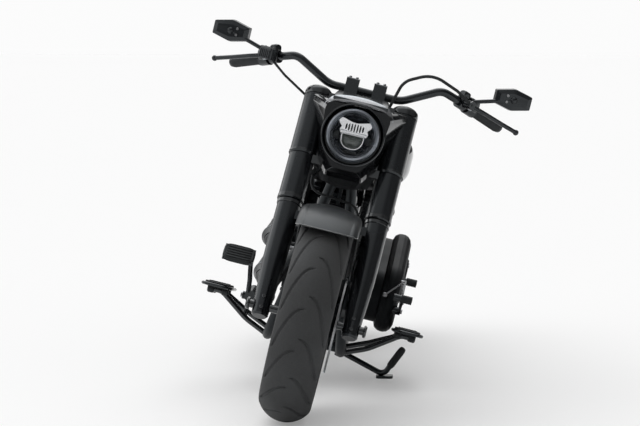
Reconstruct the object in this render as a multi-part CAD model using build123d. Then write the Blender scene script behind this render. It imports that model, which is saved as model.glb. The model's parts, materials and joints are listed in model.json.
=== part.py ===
"""Cruiser motorcycle with a wide front tyre, parked leaning on its side stand.

The machine is drawn upright, with X to the rider's left, Y to the rear and Z up, and Y = 0 at the
front axle. It is then leaned onto its stand and moved so that the origin lies on the floor under
the middle of its bounding box. Lengths are millimetres and angles are degrees.
"""

from build123d import *
from functools import lru_cache
import math
import os

# ------------------------------------------------------------------ chassis and wheel dimensions
WHEELBASE = 1665
TYRE_RADIUS = 325
RIM_RADIUS = 229
FRONT_TYRE_WIDTH = 160
FRONT_CROWN_RADIUS = 90
FRONT_RIM_HALF = 50
REAR_TYRE_WIDTH = 240
REAR_CROWN_RADIUS = 180
REAR_RIM_HALF = 106
FRONT_HUB_HALF = 78
REAR_HUB_HALF = 118
AXLE_RADIUS = 12.5
AXLE_BORE_RADIUS = 8
RUNNING_CLEARANCE = 0.05
SEAT_GAP = 0.3
MOVING_GAP = 6
LEAN = 13.7

# ------------------------------------------------------------------ steering head and fork
RAKE = 30
FORK_OFFSET = 72
FORK_SPACING = 280
SLIDER_RADIUS = 37
SLIDER_FOOT_RADIUS = 26
SLIDER_LENGTH = 362
COVER_RADIUS = 41
UPPER_COVER_RADIUS = 44
COVER_JOINT = 523
COVER_TOP = 757
CLAMP_THICKNESS = 28
CLAMP_DROP = 8
STEM_RADIUS = 20
NECK_RADIUS = 36
STEERING_LOCK = 28

# ------------------------------------------------------------------ frame tubes and cradle
RAIL_RADIUS = 17
RAIL_HEIGHT = 150
RAIL_HALF_WIDTH = 125
BACKBONE_RADIUS = 30
HEAD_RISE = TYRE_RADIUS + 513
BACKBONE = [(0, 392, HEAD_RISE), (0, 560, 772), (0, 1030, 756), (0, 1150, 560), (0, 1180, 430)]
BACKBONE_BENDS = [120, 110, 60]
CROSS_RADIUS = 17
DOWN_TUBE_TOP = (14, 392, HEAD_RISE - 23)
DOWN_TUBE_FOOT = 505
PIVOT_PLATE_X = (98, 118)
PIVOT = (1206, 368)
STRUT_ROOT = (1200, 560)
STRUT_END = (WHEELBASE + 35, TYRE_RADIUS + 307)
SIGNAL_X = 165
SIGNAL = (WHEELBASE + 207, TYRE_RADIUS + 195)
PLATE = (WHEELBASE + 375, TYRE_RADIUS + 127)
ARM_X = (156, 174)
ARM_RADIUS = 30
BRACE_TOP = (1246, 500)
BRACE_END = (WHEELBASE - 95, TYRE_RADIUS + 17)
BRACE_RADIUS = 16

# ------------------------------------------------------------------ engine and drive
CRANK = (760, 320)
CYLINDER_ANGLE = 22.5
CASE_RADIUS = 138
CASE_HALF_WIDTH = 96
SUMP_BOTTOM = 176
SUMP = (640, 900)
BARREL_START = 118
BARREL_END = 256
FIN_RADIUS = 79
BARREL_RADIUS = 56
FIN_PITCH = 11.5
FIN_THICKNESS = 5
HEAD_END = 338
HEAD_SIZE = (160, 150)
ROCKER_END = 396
PUSHROD_X = 88
PUSHROD_RADIUS = 10
AIR_CLEANER = (760, 612)
AIR_CLEANER_RADIUS = 90
CLUTCH = (1010, 388)
DERBY_RADIUS = 70
PRIMARY_OUTER = 272
PRIMARY_FRONT_RADIUS = 118
PRIMARY_REAR_RADIUS = 150
PRIMARY_CROWN = ((-66, 26), (-60, 10), (-48, 2), (-38, 0), (-28, 0), (-16, 4), (-6, 14), (0, 30))
GEARBOX_FRONT = 902
BELT_X = 139
BELT_WIDTH = 24
PULLEY_RADIUS = 128
DRIVE_PULLEY_RADIUS = 62
BELT_THICKNESS = 6
MUFFLER_X = -214
MUFFLER_RADIUS = 38
MUFFLER_WALL = 5
UPPER_MUFFLER = (1120, 1700, 396)
LOWER_MUFFLER = (1150, 1800, 258)
PIPE_RADIUS = 22

# ------------------------------------------------------------------ brakes
DISC_RADIUS = 150
DISC_THICKNESS = 5
DISC_CLEARANCE = 5
FRONT_DISC_X = 90
REAR_DISC_X = -139

# ------------------------------------------------------------------ mudguards
FENDER_THICKNESS = 4
FRONT_FENDER_GAP = 21
FRONT_FENDER_SIDE_GAP = 7
FRONT_FENDER_HALF = FORK_SPACING / 2 - SLIDER_RADIUS - FRONT_FENDER_SIDE_GAP
FRONT_FENDER_ANGLES = (14, 123)
REAR_FENDER_GAP = 46
REAR_FENDER_HALF = 134
REAR_FENDER_ANGLES = (22, 150)
REAR_TOP = TYRE_RADIUS + REAR_FENDER_GAP + FENDER_THICKNESS

# ------------------------------------------------------------------ handlebar and controls
BAR_RADIUS = 13
BAR_CENTRE = (400, TYRE_RADIUS + 688)
BAR_POINTS = [
    (118, BAR_CENTRE[0], BAR_CENTRE[1]),
    (238, BAR_CENTRE[0] + 3, BAR_CENTRE[1] + 64),
    (284, BAR_CENTRE[0] + 24, BAR_CENTRE[1] + 49),
    (444, BAR_CENTRE[0] + 168, BAR_CENTRE[1] - 13),
]
BAR_BENDS = [90, 45, 150]
RISER_X = 45
RISER_WIDTH = 42
GRIP_RADIUS = 17.5
GRIP_LENGTH = 130
HOUSING_RADIUS = 24
HOUSING_LENGTH = 36
PERCH_DISTANCE = 192
MIRROR_CENTRE = (466, BAR_CENTRE[0] + 62, BAR_CENTRE[1] + 88)
MIRROR_HALF = (61, 36)
MIRROR_DEPTH = 30

# ------------------------------------------------------------------ headlight
HEADLIGHT_Z = TYRE_RADIUS + 559
HEADLIGHT_FACE_Y = 196
HEADLIGHT_RADIUS = 77
HEADLIGHT_DEPTH = 74
NACELLE_FACE_TILT = 10
NACELLE_RECESS = 24
NACELLE_FACE = [(100, 90), (104, 62), (97, 0), (80, -64), (42, -112)]
NACELLE_WIDE = [(152, 728), (150, 700), (113, 616), (92, 526), (58, 474)]

# ------------------------------------------------------------------ tank, footboards and stand
TANK_SECTIONS = [
    (474, 92, 742, 840, 36), (540, 164, 730, 872, 54), (630, 197, 722, 888, 62),
    (740, 197, 722, 886, 62), (850, 160, 735, 856, 46), (926, 100, 754, 812, 24),
]
BOARD_X = (276, 372)
BOARD_Y = (520, 830)
BOARD_Z = 258
BOARD_TILT = 8
BOARD_THICKNESS = 8
BOARD_ARM_RADIUS = 9
STAND_PIVOT = Vector(120, 852, 110)
STAND_FOOT = Vector(298, 800, 0)
STAND_TAB = Vector(326, 756, 184)
STAND_BAR_RADIUS = 9.5
STAND_EYE_RADIUS = 16
STAND_PIN_RADIUS = 8
FOLDED = Vector(0.14, 1, 0)

FRONT_AXLE = Pos(0, 0, TYRE_RADIUS)
REAR_AXLE = Pos(0, WHEELBASE, TYRE_RADIUS)
FORK_FRAME = FRONT_AXLE * Rot(X=-RAKE)


def solids_of(*shapes):
    """Every solid of the given shapes, gathered as one compound for a node."""
    return Compound([solid for shape in shapes for solid in shape.solids()])


def mirrored(shape):
    """The same piece on the other side of the machine."""
    return mirror(shape, about=Plane.YZ)


def pair(shape):
    """A left and a right copy of a piece."""
    return solids_of(shape, mirrored(shape))


def tube(points, radius, bends):
    """A round bar along straight runs joined by tangent bends."""
    path = FilletPolyline(*points, radius=bends) if len(points) > 2 else Line(*points)
    section = Plane(origin=path @ 0, z_dir=path % 0) * Circle(radius)
    return sweep(section, path=path)


def spun(points, axle=Pos(0, 0, 0), angle=360):
    """A body turned about the lateral axis from a profile of (x, radius) points."""
    return axle * revolve(make_face(Polyline(*points, close=True)), Axis.X, angle)


def side_plate(outline, x_from, x_to):
    """A side-view outline (Y, Z) given thickness between two lateral positions."""
    return extrude(Plane.YZ.offset(x_from) * outline, amount=x_to - x_from)


def cross_bar(y, z, radius, x_from, x_to):
    """A round bar lying across the machine."""
    return side_plate(Pos(y, z) * Circle(radius), x_from, x_to)


def strap(start, end, radius, x_from, x_to):
    """A flat link with round ends between two side-view points."""
    length = math.dist(start, end)
    angle = math.degrees(math.atan2(end[1] - start[1], end[0] - start[0]))
    middle = ((start[0] + end[0]) / 2, (start[1] + end[1]) / 2)
    outline = Pos(*middle) * Rot(Z=angle) * SlotCenterToCenter(length, 2 * radius)
    return side_plate(outline, x_from, x_to)


def fork_point(x, across, along):
    """An upright point from fork coordinates: lateral, behind the legs, and up along them."""
    return (FORK_FRAME * Pos(x, across, along)).position


# ------------------------------------------------------------------ wheels
def tyre(width, crown_radius, rim_half, axle):
    """Round-crowned tyre whose beads sit in the rim's well between its flanges."""
    half = width / 2
    shoulder_x = 0.93 * half
    shoulder_r = TYRE_RADIUS - crown_radius + math.sqrt(crown_radius**2 - shoulder_x**2)
    bead_r = RIM_RADIUS - 6 + SEAT_GAP
    side_r = RIM_RADIUS + 11
    bulge_r = side_r + 0.48 * (shoulder_r - side_r)
    seat_x = rim_half - SEAT_GAP
    outline = [
        ThreePointArc((-shoulder_x, shoulder_r), (0, TYRE_RADIUS), (shoulder_x, shoulder_r)),
        ThreePointArc((shoulder_x, shoulder_r), (half, bulge_r), (seat_x, side_r)),
        Line((seat_x, side_r), (seat_x, bead_r)),
        Line((seat_x, bead_r), (-seat_x, bead_r)),
        Line((-seat_x, bead_r), (-seat_x, side_r)),
        ThreePointArc((-seat_x, side_r), (-half, bulge_r), (-shoulder_x, shoulder_r)),
    ]
    return axle * revolve(make_face(outline), Axis.X, 360)


def wheel(rim_half, hub_half, axle):
    """Cast disc wheel: flanged rim, dished centre with a ring of slots, and a bored hub."""
    bore = AXLE_RADIUS + RUNNING_CLEARANCE
    flange = rim_half + 8
    half = [
        (0, bore), (hub_half, bore), (hub_half, 34), (0.55 * rim_half + 14, 44),
        (26, 62), (13, 120), (11, 165), (18, RIM_RADIUS - 24), (rim_half - 10, RIM_RADIUS - 17),
        (flange, RIM_RADIUS - 14), (flange, RIM_RADIUS + 9), (rim_half, RIM_RADIUS + 9),
        (rim_half, RIM_RADIUS - 6), (0, RIM_RADIUS - 6),
    ]
    cast = spun(half) + mirrored(spun(half))
    slot = Plane.YZ.offset(-40) * (Pos(0, 142) * Rot(Z=90) * SlotOverall(64, 20))
    for step in range(14):
        cast -= Rot(X=step * 360 / 14) * extrude(slot, amount=80)
    return axle * cast


def brake_disc(disc_x, hub_x, axle):
    """Drilled brake disc on a bell that bolts to the hub face at hub_x."""
    outward = math.copysign(1, disc_x)
    edges = sorted((disc_x, disc_x + outward * DISC_THICKNESS))
    rotor = spun([(edges[0], 66), (edges[1], 66), (edges[1], DISC_RADIUS), (edges[0], DISC_RADIUS)])
    hole = Plane.YZ.offset(edges[0] - 5) * (Pos(0, 124) * Circle(5))
    for step in range(18):
        rotor -= Rot(X=step * 20 + 10) * extrude(hole, amount=DISC_THICKNESS + 10)
    inner = AXLE_RADIUS + 3
    start = hub_x + outward * SEAT_GAP
    bell = spun([
        (start, inner), (start, 32), (disc_x - outward * 8, 60), (disc_x, 76),
        (disc_x, 60), (disc_x, inner + 20), (disc_x - outward * 6, inner),
    ])
    return axle * (rotor + bell)


def disc_room(disc_x, axle):
    """The space a brake disc turns in, with clearance all round."""
    outward = math.copysign(1, disc_x)
    near, far = disc_x - outward * DISC_CLEARANCE, disc_x + outward * (DISC_THICKNESS + DISC_CLEARANCE)
    top = DISC_RADIUS + DISC_CLEARANCE
    return spun([(near, 90), (far, 90), (far, top), (near, top)], axle)


# ------------------------------------------------------------------ front end
def fork_leg_profile(points, top_round=0):
    """A turned fork piece on the left leg from (radius, height along the leg) points."""
    face = make_face(Polyline((0, points[0][1]), *points, (0, points[-1][1]), close=True))
    body = revolve(Plane.XZ * face, Axis.Z, 360)
    return FORK_FRAME * Pos(FORK_SPACING / 2, 0, 0) * body


@lru_cache
def fork_slider():
    """Lower leg, tapered to its foot, with the axle bore across it."""
    body = fork_leg_profile([
        (SLIDER_FOOT_RADIUS - 5, -34), (SLIDER_FOOT_RADIUS, -28), (SLIDER_FOOT_RADIUS + 3, 30),
        (SLIDER_RADIUS - 1, 150), (SLIDER_RADIUS, 240), (SLIDER_RADIUS, SLIDER_LENGTH - 4),
        (SLIDER_RADIUS - 3, SLIDER_LENGTH - SEAT_GAP),
    ])
    return body - cross_bar(0, TYRE_RADIUS, AXLE_RADIUS + RUNNING_CLEARANCE, 50, 250)


def fork_covers():
    """Middle and upper tube covers of one leg, with a shadow gap at their joint."""
    middle = fork_leg_profile([
        (COVER_RADIUS - 3, SLIDER_LENGTH), (COVER_RADIUS, SLIDER_LENGTH + 4),
        (COVER_RADIUS, COVER_JOINT - 4), (COVER_RADIUS - 3, COVER_JOINT - SEAT_GAP),
    ])
    upper = fork_leg_profile([
        (UPPER_COVER_RADIUS - 5, COVER_JOINT), (UPPER_COVER_RADIUS - 1, COVER_JOINT + 5),
        (UPPER_COVER_RADIUS, COVER_TOP - 26), (UPPER_COVER_RADIUS - 14, COVER_TOP),
    ])
    return middle, upper


def cover_clearance(extra):
    """The space round both legs that other front-end pieces leave free."""
    leg = FORK_FRAME * Pos(FORK_SPACING / 2, 0, COVER_JOINT + 100) * Cylinder(
        UPPER_COVER_RADIUS + extra, 900)
    return pair(leg)


@lru_cache
def clamp(top):
    """One triple clamp, between the legs, with the steering stem's boss."""
    reach = FORK_SPACING / 2
    outline = make_hull([
        (Pos(-reach, 0) * Circle(30)).edge(), (Pos(reach, 0) * Circle(30)).edge(),
        (Pos(0, FORK_OFFSET) * Circle(NECK_RADIUS)).edge(),
    ])
    plate = extrude(Pos(0, 0, top - CLAMP_THICKNESS) * outline, amount=CLAMP_THICKNESS)
    return FORK_FRAME * plate - cover_clearance(SEAT_GAP)


def steering_stem():
    """Stem between the clamps, which turns in the frame's neck."""
    low = COVER_JOINT - SEAT_GAP
    high = COVER_TOP - CLAMP_DROP - CLAMP_THICKNESS + SEAT_GAP
    body = Pos(0, FORK_OFFSET, (low + high) / 2) * Cylinder(STEM_RADIUS, high - low)
    return FORK_FRAME * body


@lru_cache
def triple_clamps():
    """Both clamps joined by their stem."""
    return clamp(COVER_JOINT) + clamp(COVER_TOP - CLAMP_DROP) + steering_stem()


def front_axle():
    """Hollow front axle through both sliders and the hub."""
    reach = FORK_SPACING / 2 + 38
    axle = Cylinder(AXLE_RADIUS, 2 * reach) - Cylinder(AXLE_BORE_RADIUS, 2 * reach)
    return FRONT_AXLE * Rot(Y=90) * axle


def fender_section(half, gap, skirt):
    """Cross-section of a mudguard: a low crown, rounded corners and straight skirts."""
    top = TYRE_RADIUS + gap + FENDER_THICKNESS
    drop = 12
    bend = 26

    def dome(inset_by):
        edge, crown = half - inset_by, top - inset_by
        shoulder = crown - drop
        turn = bend - inset_by
        outline = [
            Line((-edge, top - skirt), (-edge, shoulder - turn)),
            ThreePointArc((-edge, shoulder - turn), (-edge + 0.3 * turn, shoulder - 0.3 * turn),
                          (-edge + turn, shoulder)),
            ThreePointArc((-edge + turn, shoulder), (0, crown), (edge - turn, shoulder)),
            ThreePointArc((edge - turn, shoulder), (edge - 0.3 * turn, shoulder - 0.3 * turn),
                          (edge, shoulder - turn)),
            Line((edge, shoulder - turn), (edge, top - skirt)),
            Line((edge, top - skirt), (-edge, top - skirt)),
        ]
        return make_face(outline)

    return dome(0) - dome(FENDER_THICKNESS)


def fender(half, gap, skirt, angles, axle):
    """Mudguard swept round its wheel between two angles above the rear horizontal."""
    section = fender_section(half, gap, skirt)
    swept = revolve(section, Axis.X, angles[1] - angles[0])
    return axle * Rot(X=angles[0]) * swept


def front_fender():
    """Short wide front mudguard, cut off low and level in front."""
    guard = fender(FRONT_FENDER_HALF, FRONT_FENDER_GAP, 62, FRONT_FENDER_ANGLES, FRONT_AXLE)
    tip = TYRE_RADIUS + FRONT_FENDER_GAP + FENDER_THICKNESS
    angle = math.radians(FRONT_FENDER_ANGLES[1])
    edge = Pos(0, tip * math.cos(angle), TYRE_RADIUS + tip * math.sin(angle))
    below = edge * Rot(X=-7) * Pos(0, 0, -150) * Box(400, 600, 300)
    return guard - below


def fender_bracket():
    """Pad between the mudguard's skirt and the left slider."""
    low_x = FRONT_FENDER_HALF + SEAT_GAP
    high_x = FORK_SPACING / 2
    block = FORK_FRAME * Pos((low_x + high_x) / 2, 0, 312) * Box(high_x - low_x, 52, 30)
    leg = FORK_FRAME * Pos(FORK_SPACING / 2, 0, 312) * Cylinder(SLIDER_RADIUS + SEAT_GAP, 200)
    return block - leg


@lru_cache
def front_caliper():
    """Four-piston caliper over the left disc, carried on a lug behind the slider."""
    inner_x, outer_x = FRONT_DISC_X - 17, FRONT_DISC_X + DISC_THICKNESS + 17
    body = spun([(inner_x, 106), (outer_x, 106), (outer_x, 172), (inner_x, 172)],
                FRONT_AXLE * Rot(X=2), 44)
    slot = disc_room(FRONT_DISC_X, FRONT_AXLE)
    lug_low = FRONT_DISC_X + DISC_THICKNESS + 4
    lug = FORK_FRAME * Pos((lug_low + 146) / 2, 55, 84) * Box(146 - lug_low, 74, 46)
    leg = FORK_FRAME * Pos(FORK_SPACING / 2, 0, 84) * Cylinder(SLIDER_RADIUS, 200)
    return body - slot + (lug - leg)


def shield(points, corner):
    """A left-right symmetric outline from its left-hand points, with rounded corners."""
    outline = points + [(-x, y) for x, y in reversed(points)]
    return fillet(Polygon(*outline, align=None).vertices(), corner)


def headlight_nacelle():
    """Shield-shaped shell round the lamp that closes the space between the legs."""
    tilt = math.radians(NACELLE_FACE_TILT)
    front = Plane(origin=(0, HEADLIGHT_FACE_Y, HEADLIGHT_Z), x_dir=(1, 0, 0),
                  z_dir=(0, -math.cos(tilt), math.sin(tilt)))
    leg_plane = Plane(FORK_FRAME * Plane.XZ.location)
    reach = COVER_RADIUS + 6
    shell = loft([front * shield(NACELLE_FACE, 22), leg_plane.offset(reach) * shield(NACELLE_WIDE, 10),
                  leg_plane.offset(10) * shield(NACELLE_WIDE, 10)], ruled=True)
    rim = HEADLIGHT_RADIUS + 19
    recess = front * Pos(0, 0, -NACELLE_RECESS / 2) * Cone(rim - 9, rim, NACELLE_RECESS)
    lamp_well = Pos(0, HEADLIGHT_FACE_Y, HEADLIGHT_Z) * Rot(X=90) * Cylinder(
        HEADLIGHT_RADIUS + 5 + SEAT_GAP, 2 * HEADLIGHT_DEPTH + 4)
    return shell - recess - lamp_well - cover_clearance(SEAT_GAP) - triple_clamps()


def headlight_shell():
    """Lamp bowl with its trim ring, open to the front."""
    r, depth = HEADLIGHT_RADIUS, HEADLIGHT_DEPTH
    wall = [(0, depth), (r - 22, depth), (r, 26), (r + 5, 14), (r + 5, -8), (r, -12), (r - 6, -6),
            (r - 6, 24), (r - 27, depth - 4), (0, depth - 4)]
    profile = make_face(Polyline(*wall, close=True))
    return Pos(0, HEADLIGHT_FACE_Y, HEADLIGHT_Z) * Rot(X=-90) * revolve(
        Plane.XZ * profile, Axis.Z, 360)


def headlight_lens():
    """Shallow domed glass seated in the ring."""
    r = HEADLIGHT_RADIUS - 6 - SEAT_GAP
    curve = 260
    dome = Pos(0, 0, curve - 10) * (Sphere(curve) - Sphere(curve - 5))
    return Pos(0, HEADLIGHT_FACE_Y, HEADLIGHT_Z) * Rot(X=-90) * (
        dome & Pos(0, 0, 0) * Cylinder(r, 60))


# ------------------------------------------------------------------ handlebar
def handlebar():
    """One bent tube from grip to grip."""
    left = [Vector(*p) for p in BAR_POINTS]
    right = [Vector(-p[0], p[1], p[2]) for p in BAR_POINTS]
    return tube(list(reversed(left)) + right, BAR_RADIUS, BAR_BENDS[::-1] + BAR_BENDS)


def bar_end_frame():
    """Frame at the left bar end, with Z running inwards along the grip."""
    tip, knee = Vector(*BAR_POINTS[3]), Vector(*BAR_POINTS[2])
    return Plane(origin=tip, x_dir=(0, 0, 1), z_dir=knee - tip)


def on_bar(shape, distance):
    """Places a shape, drawn about Z, at a distance inwards from the left bar end."""
    return bar_end_frame().offset(distance) * shape


def grip():
    """Rubber grip with a flanged inner end."""
    bore = BAR_RADIUS + SEAT_GAP
    profile = make_face(Polyline(
        (bore, 2), (GRIP_RADIUS, 2), (GRIP_RADIUS, GRIP_LENGTH - 6), (GRIP_RADIUS + 5, GRIP_LENGTH - 4),
        (GRIP_RADIUS + 5, GRIP_LENGTH), (bore, GRIP_LENGTH), close=True))
    return on_bar(revolve(Plane.XZ * profile, Axis.Z, 360), 0)


def switch_housing():
    """Split switch housing clamped round the bar inboard of the grip."""
    body = Cylinder(HOUSING_RADIUS, HOUSING_LENGTH) - Cylinder(BAR_RADIUS + SEAT_GAP, 200)
    return on_bar(Pos(0, 0, GRIP_LENGTH + 2 + HOUSING_LENGTH / 2) * body, 0)


def bar_point(distance, ahead, above=0):
    """A point by the left grip: inwards from the bar end, ahead of the grip and above it."""
    frame = bar_end_frame()
    forward = Vector(0.669, -0.743, 0)
    upward = frame.z_dir.cross(forward) * -1
    return frame.origin + frame.z_dir * distance + forward * ahead + upward * above


@lru_cache
def control_lever():
    """Lever blade with a ball end, its pivot block and the clamp round the bar."""
    blade = tube([bar_point(PERCH_DISTANCE - 6, 44), bar_point(140, 60), bar_point(60, 73),
                  bar_point(2, 87)], 7, [60, 120])
    ball = Pos(*bar_point(0, 87)) * Sphere(9.5)
    clamp_ring = on_bar(Pos(0, 0, PERCH_DISTANCE) * Cylinder(21, 30), 0)
    block = tube([bar_point(PERCH_DISTANCE, 6), bar_point(PERCH_DISTANCE, 54)], 13, [])
    bore = on_bar(Cylinder(BAR_RADIUS + SEAT_GAP, 900), 0)
    return blade + ball + clamp_ring + block - bore


def reservoir():
    """Front brake reservoir ahead of the right perch, drawn on the left."""
    seat_point = bar_point(PERCH_DISTANCE + 6, 43, 12)
    body = Plane(origin=seat_point, x_dir=(0.743, 0.669, 0), z_dir=(0, 0, 1)) * Pos(0, 0, 16) * Box(56, 36, 34)
    return fillet(body.edges().filter_by(Axis.Z), 6) - on_bar(Cylinder(25, 900), 0)


def mirror_outline(shrink):
    """Six-sided mirror outline with upright ends and a low peak above and below."""
    a, b = MIRROR_HALF[0] - shrink, MIRROR_HALF[1] - shrink
    end = 22 - 0.6 * shrink
    corners = Polygon((-a, -end), (-4, -b), (4, -b), (a, -end), (a, end), (4, b), (-4, b), (-a, end),
                      align=None)
    return fillet(corners.vertices(), 3.5)


def mirror_head():
    """Left mirror: shell with a faceted back, its glass side rearward, and its stem."""
    face = Plane(origin=MIRROR_CENTRE, x_dir=(0.985, 0.17, 0), z_dir=(0.17, -0.985, 0))
    shell = loft([face.offset(-MIRROR_DEPTH / 2) * mirror_outline(0),
                  face.offset(MIRROR_DEPTH / 4) * mirror_outline(2),
                  face.offset(MIRROR_DEPTH / 2) * mirror_outline(16)], ruled=True)
    glass = extrude(face.offset(-MIRROR_DEPTH / 2) * mirror_outline(5), amount=3)
    root = bar_point(PERCH_DISTANCE, 2, 18)
    elbow = root + Vector(14, 4, 22)
    back = Vector(*MIRROR_CENTRE) + face.z_dir * (MIRROR_DEPTH / 2 - 4)
    stem = tube([root, elbow, back], 6.5, [20])
    boss = Pos(*back) * Sphere(12)
    return shell + boss - glass + stem - on_bar(Cylinder(HOUSING_RADIUS + SEAT_GAP, 900), 0)


def riser():
    """Riser on the upper clamp with its cap round the bar."""
    low, high = COVER_TOP - CLAMP_DROP + SEAT_GAP, 826
    block = FORK_FRAME * Pos(RISER_X, 0, (low + high) / 2) * Box(RISER_WIDTH, 52, high - low)
    block = fillet(block.edges().filter_by(Axis.X), 9)
    return block - cross_bar(*BAR_CENTRE, BAR_RADIUS + SEAT_GAP, 0, 100)


def clutch_cable():
    """Clutch cable that arches from the left lever over the bar to the upper clamp."""
    end = bar_point(PERCH_DISTANCE, 52)
    cable = tube([end, (286, 394, 1088), (196, 374, 1122), (112, 372, 1078),
                  fork_point(84, -6, COVER_TOP - 12)], 5, [60, 90, 60])
    return cable - control_lever() - clamp(COVER_TOP - CLAMP_DROP)


def brake_hose():
    """Front brake hose from the right lever, down behind the clamps and across to the caliper."""
    end = bar_point(PERCH_DISTANCE + 2, 40, -4)
    high = Vector(-end.X, end.Y, end.Z)
    back = FORK_OFFSET + 14
    hose = tube([high, (-262, 396, 1006), fork_point(-140, 60, 738), fork_point(-96, back, 690),
                 fork_point(-96, back, 455), fork_point(60, 74, 436), fork_point(106, 64, 330),
                 fork_point(103, 44, 150)], 4, [40, 60, 30, 45, 50, 40])
    return hose - mirrored(reservoir()) - mirrored(control_lever()) - front_caliper()


# ------------------------------------------------------------------ frame
def neck():
    """Steering-head tube with its bearing bore."""
    low, high = COVER_JOINT + MOVING_GAP, COVER_TOP - CLAMP_DROP - CLAMP_THICKNESS - MOVING_GAP
    body = Cylinder(NECK_RADIUS, high - low)
    return FORK_FRAME * Pos(0, FORK_OFFSET, (low + high) / 2) * body


def neck_bore():
    """Bore through the steering head."""
    return FORK_FRAME * Pos(0, FORK_OFFSET, 640) * Cylinder(STEM_RADIUS + RUNNING_CLEARANCE, 500)


@lru_cache
def cradle_side():
    """Left down tube and lower rail, bent up behind the gearbox."""
    x = RAIL_HALF_WIDTH
    return tube([DOWN_TUBE_TOP, (x, DOWN_TUBE_FOOT, RAIL_HEIGHT), (x, 1150, RAIL_HEIGHT), (96, 1212, 330)],
                RAIL_RADIUS, [110, 90])


def pivot_plate():
    """Plate on the left that carries the swingarm's pin."""
    outline = make_hull([
        (Pos(*PIVOT) * Circle(34)).edge(), (Pos(1150, 170) * Circle(22)).edge(),
        (Pos(*STRUT_ROOT) * Circle(24)).edge(),
    ])
    return side_plate(outline, *PIVOT_PLATE_X)


def engine_pad(y):
    """Cross member of the cradle with the pad that the engine stands on."""
    top = SUMP_BOTTOM - SEAT_GAP
    low = RAIL_HEIGHT
    pad = Pos(0, y, (top + low) / 2) * Box(120, 40, top - low)
    return cross_bar(y, RAIL_HEIGHT, CROSS_RADIUS, -RAIL_HALF_WIDTH, RAIL_HALF_WIDTH) + pad


def main_frame():
    """Steering head, backbone, twin-rail cradle, cross members and pivot plates."""
    frame = neck() + tube(BACKBONE, BACKBONE_RADIUS, BACKBONE_BENDS)
    frame = frame + pair(cradle_side())
    frame = frame + engine_pad(670) + engine_pad(870)
    frame = frame + pair(pivot_plate())
    for y, z in (STRUT_ROOT, (1150, 170), (1165, 470)):
        frame = frame + cross_bar(y, z, 16, -PIVOT_PLATE_X[0] - 4, PIVOT_PLATE_X[0] + 4)
    gusset = side_plate(make_face(Polyline(
        (392, 830), (466, 808), (436, 640), (398, 760), close=True)), -6, 6)
    frame = frame + gusset + stand_bracket()
    pin_hole = cross_bar(*PIVOT, AXLE_RADIUS + SEAT_GAP, -200, 200)
    return frame - neck_bore() - pin_hole


def swingarm_leg(growth=0):
    """Left leg of the swingarm in side view, drawn out by a given amount."""
    return strap(PIVOT, (WHEELBASE, TYRE_RADIUS), ARM_RADIUS + growth, *ARM_X)


def swingarm():
    """Two legs outside the belt and disc, bored for the pivot pin and the axle."""
    leg = swingarm_leg()
    for y, z in (PIVOT, (WHEELBASE, TYRE_RADIUS)):
        leg -= cross_bar(y, z, AXLE_RADIUS + SEAT_GAP, 100, 200)
    return pair(leg)


def swingarm_braces():
    """Upper braces and the hoop that carries them, with the tube between the legs."""
    reach = ARM_X[0] - SEAT_GAP
    upright = strap(PIVOT, BRACE_TOP, BRACE_RADIUS + 2, *ARM_X) - swingarm_leg(SEAT_GAP)
    hoop = pair(upright) + cross_bar(*BRACE_TOP, BRACE_RADIUS - 1, -ARM_X[0] - 4, ARM_X[0] + 4)
    brace = strap(BRACE_TOP, BRACE_END, BRACE_RADIUS, *ARM_X) - swingarm_leg(SEAT_GAP)
    brace -= strap(PIVOT, BRACE_TOP, BRACE_RADIUS + 2 + SEAT_GAP, *ARM_X)
    return solids_of(hoop, pair(brace), cross_bar(PIVOT[0] + 62, PIVOT[1] - 2, 22, -reach, reach))


def swingarm_pivot():
    """Pivot pin through the legs and the frame's plates: a nut on the left, a flat head on the right."""
    pin = cross_bar(*PIVOT, AXLE_RADIUS, -ARM_X[1] - 2, ARM_X[1] + 2)
    nut = side_plate(Pos(*PIVOT) * RegularPolygon(17, 6), ARM_X[1] + SEAT_GAP, ARM_X[1] + 10)
    head = cross_bar(*PIVOT, AXLE_RADIUS + 3, -ARM_X[1] - 2.5, -ARM_X[1] - SEAT_GAP)
    return pin + nut + head


# ------------------------------------------------------------------ engine
def cylinder_frame(sign):
    """Frame on the crank centre whose Z runs up the front (+1) or rear (-1) cylinder."""
    return Pos(0, *CRANK) * Rot(X=sign * CYLINDER_ANGLE)


def vee_side(sign):
    """The half of space on one side of the vee's middle plane."""
    gap = 3
    return Pos(0, CRANK[0] - sign * (500 + gap), 500) * Box(800, 1000, 2000)


@lru_cache
def engine_cases():
    """Crankcase, timing cover, sump and gearbox as one plain mass."""
    half = CASE_HALF_WIDTH
    case = cross_bar(*CRANK, CASE_RADIUS, -half, half)
    deck = Pos(0, CRANK[0], CRANK[1] + 96) * Box(2 * half - 20, 190, 60)
    sump = Pos(0, sum(SUMP) / 2, (SUMP_BOTTOM + CRANK[1]) / 2) * Box(
        150, SUMP[1] - SUMP[0], CRANK[1] - SUMP_BOTTOM)
    box = Pos(-3, GEARBOX_FRONT + 106, 352) * Box(2 * half - 6, 232, 200)
    box = fillet(box.edges().filter_by(Axis.X), 30)
    timing = cross_bar(CRANK[0] - 8, CRANK[1] + 30, 74, -half - 26, -half)
    trans_cover = cross_bar(1010, 352, 70, -half - 18, -half)
    return case + deck + sump + box + timing + trans_cover


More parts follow.
